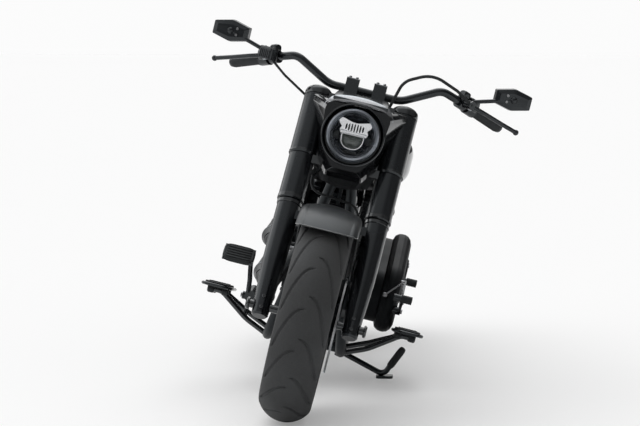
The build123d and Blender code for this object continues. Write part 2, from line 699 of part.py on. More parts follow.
@lru_cache
def cylinder(sign):
    """Finned barrel and head of one cylinder."""
    frame = cylinder_frame(sign)
    barrel = Pos(0, 0, (BARREL_START + BARREL_END) / 2) * Cylinder(
        BARREL_RADIUS, BARREL_END - BARREL_START)
    count = int((BARREL_END - BARREL_START - 14) / FIN_PITCH)
    for index in range(count):
        height = BARREL_START + 18 + index * FIN_PITCH
        barrel = barrel + Pos(0, 0, height) * Cylinder(FIN_RADIUS, FIN_THICKNESS)
    length, width = HEAD_SIZE
    core = Box(width - 24, length - 24, HEAD_END - BARREL_END)
    head = Pos(0, 0, (BARREL_END + HEAD_END) / 2) * core
    for index in range(5):
        height = BARREL_END + 5 + index * 17
        fin = extrude(RectangleRounded(width, length, 24), amount=6)
        head = head + Pos(0, 0, height) * fin
    boss = Pos(-PUSHROD_X, 0, BARREL_END + 11) * Box(40, 96, 22)
    rods = Pos(-PUSHROD_X, 0, BARREL_END - 100) * Box(30, 96, 199)
    piece = barrel - rods + head + boss
    return (frame * piece & vee_side(sign)) - engine_cases()


@lru_cache
def rocker_cover(sign):
    """Two-step rocker cover on one head."""
    length, width = HEAD_SIZE
    low = extrude(Pos(0, 0, HEAD_END + SEAT_GAP) * RectangleRounded(width - 6, length - 6, 26),
                  amount=30)
    top = extrude(Pos(0, 0, HEAD_END + SEAT_GAP + 30) * RectangleRounded(width - 30, length - 30, 22),
                  amount=ROCKER_END - HEAD_END - 30, taper=14)
    return cylinder_frame(sign) * (low + top)


def pushrod_tubes(sign):
    """The two pushrod tubes of one cylinder, from the timing cover to the head."""
    frame = cylinder_frame(sign)
    tubes = []
    for across in (-22, 22):
        top = frame * Pos(-PUSHROD_X, across, BARREL_END - SEAT_GAP)
        foot = frame * Pos(-PUSHROD_X, across * 0.8, 108)
        rod = tube([foot.position, top.position], PUSHROD_RADIUS, [])
        tubes.append(rod - engine_cases())
    return solids_of(*tubes)


def air_cleaner():
    """Round air cleaner on the right with its intake between the heads."""
    y, z = AIR_CLEANER
    r = AIR_CLEANER_RADIUS
    cover = Pos(0, y, z) * spun([(-108, 0), (-108, r - 6), (-116, r), (-164, r), (-182, r - 14),
                                 (-188, r - 50), (-196, r - 60), (-196, 0)])
    throat = cross_bar(y, z, 26, -110, -10)
    runner = Pos(0, y, z - 20) * Rot(X=90) * Cylinder(22, 240)
    body = cover + throat + runner
    return body - cylinder(1) - cylinder(-1) - rocker_cover(1) - rocker_cover(-1)


def primary_outline(shrink):
    """Side view of the primary cover, drawn in by a given amount."""
    return make_hull([
        (Pos(CRANK[0], CRANK[1] + 24) * Circle(PRIMARY_FRONT_RADIUS - shrink)).edge(),
        (Pos(*CLUTCH) * Circle(PRIMARY_REAR_RADIUS - shrink)).edge(),
    ])


@lru_cache
def primary_cover():
    """Long oval cover over the primary drive, thinner behind where the belt passes."""
    cover = side_plate(primary_outline(26), CASE_HALF_WIDTH + SEAT_GAP, PRIMARY_OUTER - 64)
    crown = loft([Plane.YZ.offset(PRIMARY_OUTER + x) * primary_outline(shrink)
                  for x, shrink in PRIMARY_CROWN], ruled=True)
    derby = cross_bar(*CLUTCH, DERBY_RADIUS, PRIMARY_OUTER, PRIMARY_OUTER + 7)
    derby = chamfer(derby.edges().filter_by(GeomType.CIRCLE).sort_by(Axis.X)[-1], 5)
    hatch = side_plate(Pos(CRANK[0] - 6, CRANK[1] + 40) * SlotOverall(96, 44), PRIMARY_OUTER - 1, PRIMARY_OUTER + 3)
    room = BELT_X + BELT_WIDTH / 2 + 8
    belt_room = side_plate(Pos(1160, 390) * Rectangle(560, 500), 0, room)
    return cover + crown + derby + hatch - belt_room


def belt_outline(growth):
    """Side view of the belt run round both pulleys."""
    return make_hull([
        (Pos(*CLUTCH) * Circle(DRIVE_PULLEY_RADIUS + growth)).edge(),
        (Pos(WHEELBASE, TYRE_RADIUS) * Circle(PULLEY_RADIUS + growth)).edge(),
    ])


def drive_belt():
    """Toothed belt as a plain band that stands just off the rear pulley."""
    low, high = BELT_X - BELT_WIDTH / 2, BELT_X + BELT_WIDTH / 2
    return side_plate(belt_outline(BELT_THICKNESS), low, high) - side_plate(
        belt_outline(0), low - 5, high + 5)


def drive_pulley():
    """Gearbox output pulley inside the belt."""
    inner = CASE_HALF_WIDTH - 6
    hub = cross_bar(*CLUTCH, 30, inner + SEAT_GAP, BELT_X)
    ring = cross_bar(*CLUTCH, DRIVE_PULLEY_RADIUS - SEAT_GAP, BELT_X - 11, BELT_X + 11)
    return hub + ring


def rear_pulley():
    """Wheel pulley with a dished centre, bolted to the hub."""
    outer = PULLEY_RADIUS - MOVING_GAP
    low, high = BELT_X - BELT_WIDTH / 2, BELT_X + BELT_WIDTH / 2
    start = REAR_HUB_HALF + SEAT_GAP
    return REAR_AXLE * spun([
        (start, AXLE_RADIUS + 3), (start, 40), (low, 78), (low, outer), (high, outer),
        (high, outer - 10), (low + 9, outer - 16), (low + 9, 60), (start + 16, AXLE_RADIUS + 3)])


def rear_axle():
    """Hollow rear axle with spacers, a head and a nut."""
    reach = ARM_X[1] + 1
    body = Cylinder(AXLE_RADIUS, 2 * reach)
    for side in (-1, 1):
        body = body + Pos(0, 0, side * (reach + 5)) * Cylinder(18, 10)
        body = body + Pos(0, 0, side * 149.5) * Cylinder(17, 12)
    return REAR_AXLE * Rot(Y=90) * (body - Cylinder(AXLE_BORE_RADIUS, 3 * reach))


def rear_caliper():
    """Rear caliper over the right disc, carried on the swingarm's leg."""
    inner, outer = REAR_DISC_X + 13, -ARM_X[0] + SEAT_GAP
    turn = REAR_AXLE * Rot(X=128)
    body = spun([(inner, 104), (outer, 104), (outer, 170), (inner, 170)], turn, 44)
    slot = disc_room(REAR_DISC_X, REAR_AXLE)
    return body - slot


# ------------------------------------------------------------------ exhaust
def muffler(start, end, height):
    """Slash-cut muffler with a tapered nose, open at its tail."""
    body = Pos(MUFFLER_X, 0, height) * Rot(X=-90) * revolve(Plane.XZ * make_face(Polyline(
        (0, start), (PIPE_RADIUS + 3, start), (MUFFLER_RADIUS, start + 90), (MUFFLER_RADIUS, end),
        (MUFFLER_RADIUS - MUFFLER_WALL, end), (MUFFLER_RADIUS - MUFFLER_WALL, end - 60), (0, end - 60),
        close=True)), Axis.Z, 360)
    cut = Pos(MUFFLER_X, end, height) * Rot(X=-28) * Pos(0, 60, 0) * Box(200, 120, 300)
    inlet = Pos(MUFFLER_X, start, height) * Rot(X=90) * Cylinder(PIPE_RADIUS + SEAT_GAP, 60)
    return body - cut - inlet


def mufflers():
    """Upper and lower mufflers with the bracket that holds them to the frame."""
    bracket = strap((1245, 300), (1245, 396), 12, MUFFLER_X + 30, -ARM_X[1] - SEAT_GAP)
    upper, lower = muffler(*UPPER_MUFFLER), muffler(*LOWER_MUFFLER)
    return upper + lower + bracket


def exhaust_pipes():
    """Front and rear head pipes."""
    start_f = cylinder_frame(1) * Pos(-30, -HEAD_SIZE[0] / 2 + 4, 290)
    bend_f = cylinder_frame(1) * Pos(-44, -HEAD_SIZE[0] / 2 - 62, 286)
    front = tube([start_f.position, bend_f.position, (-150, 520, 330), (-160, 640, 228),
                  (-168, 960, 226), (MUFFLER_X, LOWER_MUFFLER[0] - 40, LOWER_MUFFLER[2]),
                  (MUFFLER_X, LOWER_MUFFLER[0] + 25, LOWER_MUFFLER[2])], PIPE_RADIUS,
                 [48, 60, 60, 90, 30])
    start_r = cylinder_frame(-1) * Pos(-30, HEAD_SIZE[0] / 2 - 4, 290)
    bend_r = cylinder_frame(-1) * Pos(-60, HEAD_SIZE[0] / 2 + 56, 286)
    rear = tube([start_r.position, bend_r.position, (-186, 1010, 440),
                 (MUFFLER_X, UPPER_MUFFLER[0] - 44, UPPER_MUFFLER[2]),
                 (MUFFLER_X, UPPER_MUFFLER[0] + 25, UPPER_MUFFLER[2])], PIPE_RADIUS, [44, 44, 24])
    heads = cylinder(1) + cylinder(-1)
    return solids_of(front - heads, rear - heads)


# ------------------------------------------------------------------ bodywork
@lru_cache
def tank_body():
    """Tank shell as a loft through rounded cross-sections."""
    sections = []
    for y, half, low, high, corner in TANK_SECTIONS:
        outline = Pos(0, (low + high) / 2) * RectangleRounded(2 * half, high - low, corner)
        sections.append(Plane.XZ.offset(-y) * outline)
    return loft(sections)


def fuel_tank():
    """Teardrop tank straddling the backbone."""
    r = BACKBONE_RADIUS + SEAT_GAP
    tunnel = tube(BACKBONE[:3], r, [120]) + Pos(0, 690, 700) * Box(2 * r, 700, 144)
    return tank_body() - tunnel


def tank_console():
    """Raised console down the middle of the tank with the filler cap."""
    hump = Pos(0, 690, 895) * Box(74, 250, 34)
    hump = fillet(hump.edges().filter_by(Axis.Z), 34)
    hump = fillet(hump.faces().sort_by(Axis.Z)[-1].edges(), 10)
    cap = Pos(0, 640, 915) * Cylinder(27, 14)
    return hump + cap - tank_body()


def seat():
    """Two-part seat: a low rider's bucket and a pillion pad on the mudguard."""
    side = make_face([
        Spline((938, 800), (1020, 752), (1140, 706), (1250, 716), (1318, 778)),
        Spline((1318, 778), (1400, 792), (1500, 780), (1572, 742)),
        Line((1572, 742), (1572, 690)), Line((1572, 690), (1340, 640)),
        Line((1340, 640), (1080, 640)), Line((1080, 640), (938, 720)), Line((938, 720), (938, 800)),
    ])
    plan = make_face([
        Line((-70, 930), (70, 930)), Spline((70, 930), (130, 1040), (162, 1170), (140, 1290), (112, 1380),
                                            (100, 1500), (60, 1576)),
        Line((60, 1576), (-60, 1576)), Spline((-60, 1576), (-100, 1500), (-112, 1380), (-140, 1290),
                                              (-162, 1170), (-130, 1040), (-70, 930)),
    ])
    body = side_plate(side, -200, 200) & extrude(Pos(0, 0, 500) * plan, amount=500)
    clear = REAR_AXLE * Rot(Y=90) * Cylinder(REAR_TOP + SEAT_GAP, 600)
    r = BACKBONE_RADIUS + SEAT_GAP
    return body - clear - tube(BACKBONE, r, BACKBONE_BENDS)


def rear_fender():
    """Rear mudguard over the wide tyre."""
    return fender(REAR_FENDER_HALF, REAR_FENDER_GAP, 104, REAR_FENDER_ANGLES, REAR_AXLE)


def fender_strut():
    """Left strut from the frame to the side of the mudguard."""
    inner = REAR_FENDER_HALF + SEAT_GAP
    bar = strap(STRUT_ROOT, STRUT_END, 20, inner, inner + 10)
    foot = cross_bar(*STRUT_ROOT, 20, PIVOT_PLATE_X[1] + SEAT_GAP, inner + 2)
    return bar + foot


def tail_lights():
    """Tail lamp on the mudguard and a turn signal at each side."""
    middle = REAR_AXLE * Rot(X=48) * Pos(0, REAR_TOP + 12, 0)
    lamp = middle * Box(96, 30, 64)
    lamp = fillet(lamp.edges().filter_by(Axis.X), 8)
    shell = REAR_AXLE * Rot(Y=90) * Cylinder(REAR_TOP + SEAT_GAP, 120)
    stalk = cross_bar(*SIGNAL, 9, REAR_FENDER_HALF + SEAT_GAP, SIGNAL_X)
    bullet = Pos(SIGNAL_X, *SIGNAL) * Rot(X=-90) * Cone(20, 27, 62, align=(Align.CENTER, Align.CENTER, Align.CENTER))
    signal = stalk + bullet
    return solids_of(lamp - shell, signal, mirrored(signal))


def plate_bracket():
    """Blank number plate on a bracket under the tail of the mudguard."""
    y, z = PLATE
    plate = Pos(0, y, z) * Rot(X=-12) * Box(178, 3, 102)
    arm = side_plate(make_face(Polyline((y + 3, z - 12), (y - 2, z + 38), (y - 80, z + 48), (y - 80, z + 18), close=True)),
                     -26, 26)
    shell = REAR_AXLE * Rot(Y=90) * Cylinder(REAR_TOP + SEAT_GAP, 120)
    return plate + (arm - shell)


def oil_tank():
    """Oil tank and electrics box under the seat."""
    body = Pos(0, 1120, 556) * Box(216, 190, 167)
    body = fillet(body.edges().filter_by(Axis.X), 26)
    r = BACKBONE_RADIUS + SEAT_GAP
    hidden = side_plate(Pos(*STRUT_ROOT) * Circle(26), -200, 200)
    return body - tube(BACKBONE, r, BACKBONE_BENDS) - hidden - pair(pivot_plate()) - cross_bar(
        1165, 470, 17, -200, 200)


def oil_cooler():
    """Finned cooler between the down tubes, with its bracket."""
    core = Pos(0, 470, 330) * Rot(X=10) * Box(140, 30, 180)
    for step in range(9):
        core = core + Pos(0, 470, 330) * Rot(X=10) * Pos(0, 0, -80 + 20 * step) * Box(150, 38, 5)
    down_tube = tube([DOWN_TUBE_TOP, (RAIL_HALF_WIDTH, DOWN_TUBE_FOOT, RAIL_HEIGHT)], RAIL_RADIUS + SEAT_GAP, [])
    return core - pair(down_tube)


# ------------------------------------------------------------------ foot controls and stand
def board_frame():
    """Frame at the middle of the left footboard, tilted up in front."""
    return Pos(sum(BOARD_X) / 2, sum(BOARD_Y) / 2, BOARD_Z) * Rot(X=-BOARD_TILT)


def footboard():
    """Left footboard: a thin rounded plate with a rubber pad on top."""
    wide, long = BOARD_X[1] - BOARD_X[0], BOARD_Y[1] - BOARD_Y[0]
    base = extrude(Pos(0, 0, -BOARD_THICKNESS) * RectangleRounded(wide, long, 34), amount=BOARD_THICKNESS)
    pad = extrude(RectangleRounded(wide - 16, long - 18, 28), amount=6)
    return board_frame() * (base + pad)


def board_arm(y):
    """One curved bracket arm from the lower rail out under the left footboard."""
    under = (board_frame() * Pos(-20, y - sum(BOARD_Y) / 2, -BOARD_THICKNESS - BOARD_ARM_RADIUS - SEAT_GAP)).position
    out = (board_frame() * Pos(30, y - sum(BOARD_Y) / 2, -BOARD_THICKNESS - BOARD_ARM_RADIUS - SEAT_GAP)).position
    return tube([(RAIL_HALF_WIDTH, y, RAIL_HEIGHT), (208, y, 186), under, out], BOARD_ARM_RADIUS, [170, 40])


@lru_cache
def board_arms():
    """Both bracket arms of the left footboard."""
    return board_arm(572) + board_arm(700)


def footboard_brackets():
    """Curved arms that carry both footboards, two a side."""
    plate = board_frame() * Pos(0, -39, -BOARD_THICKNESS - SEAT_GAP - 2) * Box(58, 190, 4)
    return pair(board_arms() + plate - cradle_side())


def brake_pedal():
    """Right brake pedal with its arm, and the rear master cylinder beside it."""
    pad = Pos(-277, 548, 390) * Rot(X=40) * Box(102, 66, 12)
    pad = fillet(pad.edges().filter_by(Axis.X), 4)
    arm = tube([(-236, 552, 384), (-226, 612, 306), (-222, 640, 250)], 8, [40])
    boss = cross_bar(640, 250, 13, -240, -204)
    foot = tube([(-216, 640, 250), (-216, 640, 192)], 8, [])
    rest = tube([(-216, 578, 190), (-216, 694, 190)], 8, [])
    master = Pos(-212, 700, 252) * Rot(X=90) * Cylinder(20, 150)
    return pad + arm + boss + foot + rest + master - mirrored(board_arms())


def shift_lever():
    """Heel-and-toe shifter outside the primary cover."""
    inner, outer = PRIMARY_OUTER + 4, PRIMARY_OUTER + 13
    toe, pivot, heel = (522, 382), (664, 320), (866, 398)
    bar = strap(toe, pivot, 8, inner, outer) + strap(pivot, heel, 8, inner, outer)
    boss = cross_bar(*pivot, 13, PRIMARY_OUTER - 40, outer)
    pegs = cross_bar(*toe, 11, inner - 26, inner + 32) + cross_bar(*heel, 11, inner, inner + 40)
    return bar + boss + pegs - primary_cover()


def parked_tilt():
    """Lean onto the stand, with the small lift and pitch that keep both tyres on the floor."""
    drop = 1 - math.cos(math.radians(LEAN))
    front, rear = FRONT_CROWN_RADIUS * drop, REAR_CROWN_RADIUS * drop
    pitch = math.degrees(math.atan((rear - front) / WHEELBASE))
    return Pos(0, 0, front) * Rot(X=pitch) * Rot(Y=LEAN)


def stand_foot_centre():
    """Centre of the foot's sole in upright coordinates; it stands on the floor when parked."""
    return (parked_tilt().inverse() * Pos(*STAND_FOOT)).position


def stand_frame():
    """Frame at the stand's pin: X runs down the leg and Z along the pin."""
    leg = stand_foot_centre() + Vector(0, 0, 16) - STAND_PIVOT
    return Plane(origin=STAND_PIVOT, x_dir=leg, z_dir=leg.cross(FOLDED))


def side_stand():
    """Leg and kick tab bent from one bar, with a flat foot."""
    frame = stand_frame()
    eye = frame * Cylinder(STAND_EYE_RADIUS, 18)
    sole = stand_foot_centre()
    corner = sole + Vector(-6, -4, STAND_BAR_RADIUS + 0.5)
    bar = tube([STAND_PIVOT + frame.x_dir * 13, corner, STAND_TAB], STAND_BAR_RADIUS, [30])
    foot = parked_tilt().inverse() * extrude(
        Pos(*STAND_FOOT) * RectangleRounded(58, 44, 14), amount=9)
    hole = frame * Cylinder(STAND_PIN_RADIUS + RUNNING_CLEARANCE, 80)
    return eye + bar + foot - hole


def stand_bracket():
    """Lug under the left rail with the stand's pin."""
    frame = stand_frame()
    lug = frame.offset(18) * Cylinder(STAND_EYE_RADIUS + 2, 14)
    pin = frame.offset(4) * Cylinder(STAND_PIN_RADIUS, 30)
    head = frame.offset(-14) * Cylinder(13, 7)
    return lug + pin + head


def stand_spring():
    """Return spring of the stand beside the lower rail."""
    low = RAIL_HEIGHT - RAIL_RADIUS - 8 - SEAT_GAP
    return tube([(RAIL_HALF_WIDTH, 740, low), (RAIL_HALF_WIDTH, 812, low)], 8, [])


# ------------------------------------------------------------------ nodes
def build_nodes():
    """Every node's shape in upright coordinates."""
    middle, upper = fork_covers()
    slider = fork_slider()
    nodes = {
        "main_frame": main_frame(),
        "swingarm": swingarm(),
        "swingarm_braces": swingarm_braces(),
        "swingarm_pivot": swingarm_pivot(),
        "engine_cases": engine_cases(),
        "cylinders": solids_of(cylinder(1), cylinder(-1)),
        "rocker_covers": solids_of(rocker_cover(1), rocker_cover(-1)),
        "pushrod_tubes": solids_of(pushrod_tubes(1), pushrod_tubes(-1)),
        "air_cleaner": air_cleaner(),
        "primary_cover": primary_cover(),
        "drive_pulley": drive_pulley(),
        "drive_belt": drive_belt(),
        "exhaust_pipes": exhaust_pipes(),
        "mufflers": mufflers(),
        "fuel_tank": fuel_tank(),
        "tank_console": tank_console(),
        "seat": seat(),
        "rear_fender": rear_fender(),
        "fender_struts": pair(fender_strut()),
        "tail_lights": tail_lights(),
        "plate_bracket": plate_bracket(),
        "oil_tank": oil_tank(),
        "oil_cooler": oil_cooler(),
        "footboards": pair(footboard()),
        "footboard_brackets": footboard_brackets(),
        "brake_pedal": brake_pedal(),
        "shift_lever": shift_lever(),
        "rear_caliper": rear_caliper(),
        "rear_axle": rear_axle(),
        "stand_spring": stand_spring(),
        "side_stand": side_stand(),
        "triple_clamps": triple_clamps(),
        "fork_sliders": pair(slider),
        "fork_covers": pair(solids_of(middle, upper)),
        "headlight_nacelle": headlight_nacelle(),
        "headlight_shell": headlight_shell(),
        "headlight_lens": headlight_lens(),
        "handlebar": handlebar(),
        "risers": pair(riser()),
        "grips": pair(grip()),
        "switch_housings": pair(switch_housing()),
        "control_levers": pair(control_lever()),
        "brake_reservoir": mirrored(reservoir() - control_lever()),
        "mirrors": pair(mirror_head()),
        "front_fender": front_fender(),
        "fender_brackets": pair(fender_bracket()),
        "front_caliper": front_caliper(),
        "front_axle": front_axle(),
        "clutch_cable": clutch_cable(),
        "brake_hose": brake_hose(),
        "front_tyre": tyre(FRONT_TYRE_WIDTH, FRONT_CROWN_RADIUS, FRONT_RIM_HALF, FRONT_AXLE),
        "front_rim": wheel(FRONT_RIM_HALF, FRONT_HUB_HALF, FRONT_AXLE),
        "front_disc": brake_disc(FRONT_DISC_X, FRONT_HUB_HALF, FRONT_AXLE),
        "rear_tyre": tyre(REAR_TYRE_WIDTH, REAR_CROWN_RADIUS, REAR_RIM_HALF, REAR_AXLE),
        "rear_rim": wheel(REAR_RIM_HALF, REAR_HUB_HALF, REAR_AXLE),
        "rear_disc": brake_disc(REAR_DISC_X, -REAR_HUB_HALF, REAR_AXLE),
        "rear_pulley": rear_pulley(),
    }
    return nodes


def parked_location(nodes):
    """Tilt onto the stand, then the shift that puts the origin under the box's middle."""
    tilt = parked_tilt()
    box = Compound([solid for shape in nodes.values() for solid in (tilt * shape).solids()]).bounding_box()
    centre = box.center()
    return Pos(-centre.X, -centre.Y, 0) * tilt


def main():
    os.makedirs("parts", exist_ok=True)
    nodes = build_nodes()
    parked = parked_location(nodes)
    for name, shape in nodes.items():
        export_step(parked * shape, f"parts/{name}.step")
        print(name, len(shape.solids()), round(shape.volume / 1000))
    print("parked", parked.position, parked.orientation)


if __name__ == "__main__":
    main()
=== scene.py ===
"""Looks of a parked cruiser motorcycle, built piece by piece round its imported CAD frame."""
import json
import math

import bmesh
import bpy
import numpy as np
from mathutils import Matrix, Vector
from mathutils.bvhtree import BVHTree


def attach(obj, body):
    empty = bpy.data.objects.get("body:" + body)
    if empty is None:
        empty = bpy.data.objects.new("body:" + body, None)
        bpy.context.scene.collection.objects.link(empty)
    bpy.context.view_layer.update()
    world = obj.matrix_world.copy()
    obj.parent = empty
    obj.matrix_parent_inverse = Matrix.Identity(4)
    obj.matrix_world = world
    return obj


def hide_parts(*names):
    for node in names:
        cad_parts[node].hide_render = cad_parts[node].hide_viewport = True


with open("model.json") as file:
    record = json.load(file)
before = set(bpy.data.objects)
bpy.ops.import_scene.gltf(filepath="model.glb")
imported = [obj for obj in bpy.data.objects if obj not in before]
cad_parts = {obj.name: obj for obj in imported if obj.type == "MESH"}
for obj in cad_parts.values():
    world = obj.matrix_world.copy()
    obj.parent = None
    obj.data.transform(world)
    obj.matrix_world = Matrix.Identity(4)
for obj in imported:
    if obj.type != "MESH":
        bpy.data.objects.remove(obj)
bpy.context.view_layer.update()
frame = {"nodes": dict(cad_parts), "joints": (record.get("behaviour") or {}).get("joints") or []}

# -------- studio
# White paper under an even white sky and two broad soft suns, the stronger one high on the machine's
# right. Gloss paint sees bright banks overhead, behind and on the right, and a dimmer hall elsewhere.
SCENE = bpy.context.scene
JOINTS = {j["name"]: j for j in frame["joints"]}
TYRE_RADIUS, PAPER_WHITE, FLOOR_ENDS = 325, 0.97, (-60, 60)
FRONT_AXLE, REAR_AXLE = (np.array(JOINTS[end + "_wheel_spin"]["pos_m"]) for end in ("front", "rear"))
LEFT = np.array(JOINTS["front_wheel_spin"]["axis"])
BACK = (REAR_AXLE - FRONT_AXLE) / np.linalg.norm(REAR_AXLE - FRONT_AXLE)
UP = np.cross(LEFT, BACK)
CONTACT = FRONT_AXLE - UP * TYRE_RADIUS / 1000


def node(tree, kind, inputs=(), **settings):
    """A new shader node with its settings: a socket is linked to its input, any other value is set."""
    made = tree.nodes.new("ShaderNode" + kind)
    for key, value in settings.items():
        setattr(made, key, value)
    for key, value in dict(inputs).items():
        if isinstance(value, bpy.types.NodeSocket):
            tree.links.new(value, made.inputs[key])
        else:
            made.inputs[key].default_value = value
    return made


def shader(material):
    """The inputs of a material's shader."""
    return material.node_tree.nodes["Principled BSDF"].inputs


def sky():
    """World: white to the eye and through glass, and to all else smooth steps of direction (x, y, z):
    (hall(z) + overhead(z + 0.45 y) + sides(x) low(z) + back(y) low(z) right(x)) times a dimming of x."""
    world = bpy.data.worlds.new("hall")
    SCENE.world = world
    world.use_nodes = True
    tree = world.node_tree
    way = node(tree, "TexCoord").outputs["Generated"]
    x, y, z = node(tree, "SeparateXYZ", {"Vector": way}).outputs

    def step(source, low, high, level, base=0.0):
        """A smooth rise from a base at low to a level at high."""
        ends = {"From Min": low, "From Max": high, "To Min": base, "To Max": level}
        return node(tree, "MapRange", {"Value": source, **ends}, interpolation_type="SMOOTHSTEP").outputs["Result"]

    def joined(kind, a, b):
        """The sum, the product or the greater of two values."""
        return node(tree, "Math", {0: a, 1: b}, operation=kind).outputs["Value"]

    lifted = node(tree, "VectorMath", {0: way, 1: (0, 0.45, 1)}, operation="DOT_PRODUCT").outputs["Value"]
    above = joined("ADD", step(z, -0.3, 0.9, 0.45), step(lifted, 0.76, 1.0, 1.1))
    sides = joined("ADD", step(x, -0.6, -0.74, 0.8), step(x, 0.62, 0.8, 0.22))
    sides = joined("MULTIPLY", sides, step(z, 0.02, 0.2, 1.0))
    back = joined("MULTIPLY", step(y, 0.3, 0.7, 0.6), step(z, 0.0, 0.3, 1.0))
    back = joined("MULTIPLY", back, step(x, 0.55, 0.15, 1.0))
    light = joined("ADD", above, joined("ADD", sides, back))
    light = joined("MULTIPLY", light, step(x, 0.75, 0.15, 1.0, 0.35))
    path = node(tree, "LightPath").outputs
    straight = joined("MAXIMUM", path["Is Camera Ray"], path["Is Transmission Ray"])
    seen = node(tree, "Mix", {"Factor": straight, "A": light, "B": PAPER_WHITE})
    background = tree.nodes["Background"].inputs
    background["Color"].default_value = (1, 1, 1, 1)
    tree.links.new(seen.outputs["Result"], background["Strength"])


def placed(name, data):
    """A new object in the scene."""
    made = bpy.data.objects.new(name, data)
    SCENE.collection.objects.link(made)
    return made


def paper():
    """Floor: matt white that keeps shadows, and glows a little to the eye, to gloss and through glass."""
    material = bpy.data.materials.new("paper")
    material.use_nodes = True
    tree, into = material.node_tree, shader(material)
    into["Base Color"].default_value, into["Emission Color"].default_value = (0.67, 0.67, 0.67, 1), (1, 1, 1, 1)
    into["Roughness"].default_value, into["Specular IOR Level"].default_value = 0.9, 0.0
    path, level = node(tree, "LightPath").outputs, 0.0
    for way, white in (("Is Camera Ray", 0.24), ("Is Glossy Ray", 0.08), ("Is Transmission Ray", 0.24)):
        level = node(tree, "Math", {0: path[way], 1: white, 2: level}, operation="MULTIPLY_ADD").outputs["Value"]
    tree.links.new(level, into["Emission Strength"])
    mesh = bpy.data.meshes.new("floor")
    mesh.from_pydata([(x, y, 0) for x in FLOOR_ENDS for y in FLOOR_ENDS], [], [(0, 2, 3, 1)])
    mesh.materials.append(material)
    ground = placed("floor", mesh)


def soft_sun(name, place, width, strength):
    """Sun from a place towards the origin, width in degrees, seen by matt surfaces only."""
    light = bpy.data.lights.new(name, "SUN")
    light.angle, light.energy = math.radians(width), strength
    lamp = placed(name, light)
    lamp.rotation_euler = (-Vector(place)).to_track_quat("-Z", "Y").to_euler()
    lamp.visible_glossy = False


sky()
paper()
soft_sun("key", (-0.55, -0.1, 0.82), 50, 0.7)
soft_sun("fill", (0.5, -0.6, 0.6), 60, 0.3)
EYE_FROM_CONTACT = Vector((0.4518, -6.504, 1.231))
EYE_TURNS = ((2.94, "Z"), (90 - 5.234, "X"), (0.097, "Z"))
eye = bpy.data.cameras.new("eye")
eye.lens, eye.sensor_width, eye.clip_end = 121.6, 36, 200
viewer = placed("eye", eye)
view = Matrix.Translation(Vector(CONTACT) + EYE_FROM_CONTACT)
for turn, axis in EYE_TURNS:
    view = view @ Matrix.Rotation(math.radians(turn), 4, axis)
viewer.matrix_world = view
SCENE.camera = viewer
SCENE.view_settings.view_transform = "Standard"

# -------- frame and swingarm
# Welded steel tubes, a forged steering head and pressed plates, powder coated black.
# Pieces are drawn upright in millimetres and laid onto the leaning machine by its own three axes.
MACHINE = np.array([LEFT, BACK, UP])


def bike(points):
    """Upright millimetres (left, rearward, up) to the leaning frame: contact + x left + y back + z up."""
    return CONTACT + np.asarray(points, float) / 1000 @ MACHINE


def merge(mesh, gap, outwards=False):
    """Joins points within a gap in metres, and turns faces outwards if asked."""
    work = bmesh.new()
    work.from_mesh(mesh)
    bmesh.ops.remove_doubles(work, verts=work.verts, dist=gap)
    if outwards:
        bmesh.ops.recalc_face_normals(work, faces=work.faces)
    work.to_mesh(mesh)
    work.free()


def piece(name, parts, material, slot, body="chassis", wrap=True, crease=35, solid=True):
    """One object from grids of upright points: quads join row to row, wrap joins the last column to the
    first, solid shells face outwards, and edges over the crease stay sharp."""
    points, faces, start = [], [], 0
    for grid in parts:
        rows, cols = grid.shape[:2]
        index = start + np.arange(rows * cols).reshape(rows, cols)
        if wrap:
            index = np.hstack([index, index[:, :1]])
        quads = np.stack([index[:-1, :-1], index[:-1, 1:], index[1:, 1:], index[1:, :-1]], -1)
        faces += quads.reshape(-1, 4).tolist()
        points.append(grid.reshape(-1, 3))
        start += rows * cols
    mesh = bpy.data.meshes.new(name)
    mesh.from_pydata(bike(np.vstack(points)).tolist(), [], faces)
    merge(mesh, 1e-6, solid)
    mesh.polygons.foreach_set("use_smooth", np.ones(len(mesh.polygons), bool))
    mesh.set_sharp_from_angle(angle=math.radians(crease))
    mesh.materials.append(material)
    made = placed(name, mesh)
    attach(made, body)
    return made


def across(axis, hint=(0, 0, 1)):
    """Two unit directions square to an axis: the hint's part square to it, and their cross product."""
    axis = np.asarray(axis, float) / np.linalg.norm(axis)
    hint = np.asarray(hint, float)
    if abs(hint @ axis) > 0.95 * np.linalg.norm(hint):
        hint = np.array([1.0, 0, 0])
    first = hint - axis * (hint @ axis)
    first /= np.linalg.norm(first)
    return axis, first, np.cross(axis, first)


def turned(profile, origin, axis, steps=48):
    """Body of revolution: origin + h axis + r (cos t, sin t) for each (radius, height) of the profile."""
    axis, first, second = across(axis)
    r, h = np.asarray(profile, float).T
    t = np.linspace(0, 2 * np.pi, steps, endpoint=False)
    ring = np.cos(t)[:, None] * first + np.sin(t)[:, None] * second
    return np.asarray(origin, float) + h[:, None, None] * axis + r[:, None, None] * ring


def stacked(outline, levels, origin, axis, hint=(0, 0, 1)):
    """A flat outline carried along an axis: origin + h axis + s (u first + v second) per (scale, height)."""
    axis, first, second = across(axis, hint)
    flat = outline[:, :1] * second + outline[:, 1:] * first
    s, h = np.asarray(levels, float).T
    return np.asarray(origin, float) + h[:, None, None] * axis + s[:, None, None] * flat


def hexes(centres, axis, width=11, height=6):
    """Hexagon-socket heads: a chamfered round head sunk in the middle, stacked at each centre."""
    t = np.linspace(0, 2 * np.pi, 12, endpoint=False)
    rim = np.stack([np.cos(t), np.sin(t)], 1) * width / 2
    levels = [(0.9, 0), (1, 0.4), (1, height - 1), (0.86, height), (0.5, height), (0.45, height - 2.5),
              (0, height - 2.5)]
    return [stacked(rim, levels, c, axis) for c in np.asarray(centres, float).reshape(-1, 3)]


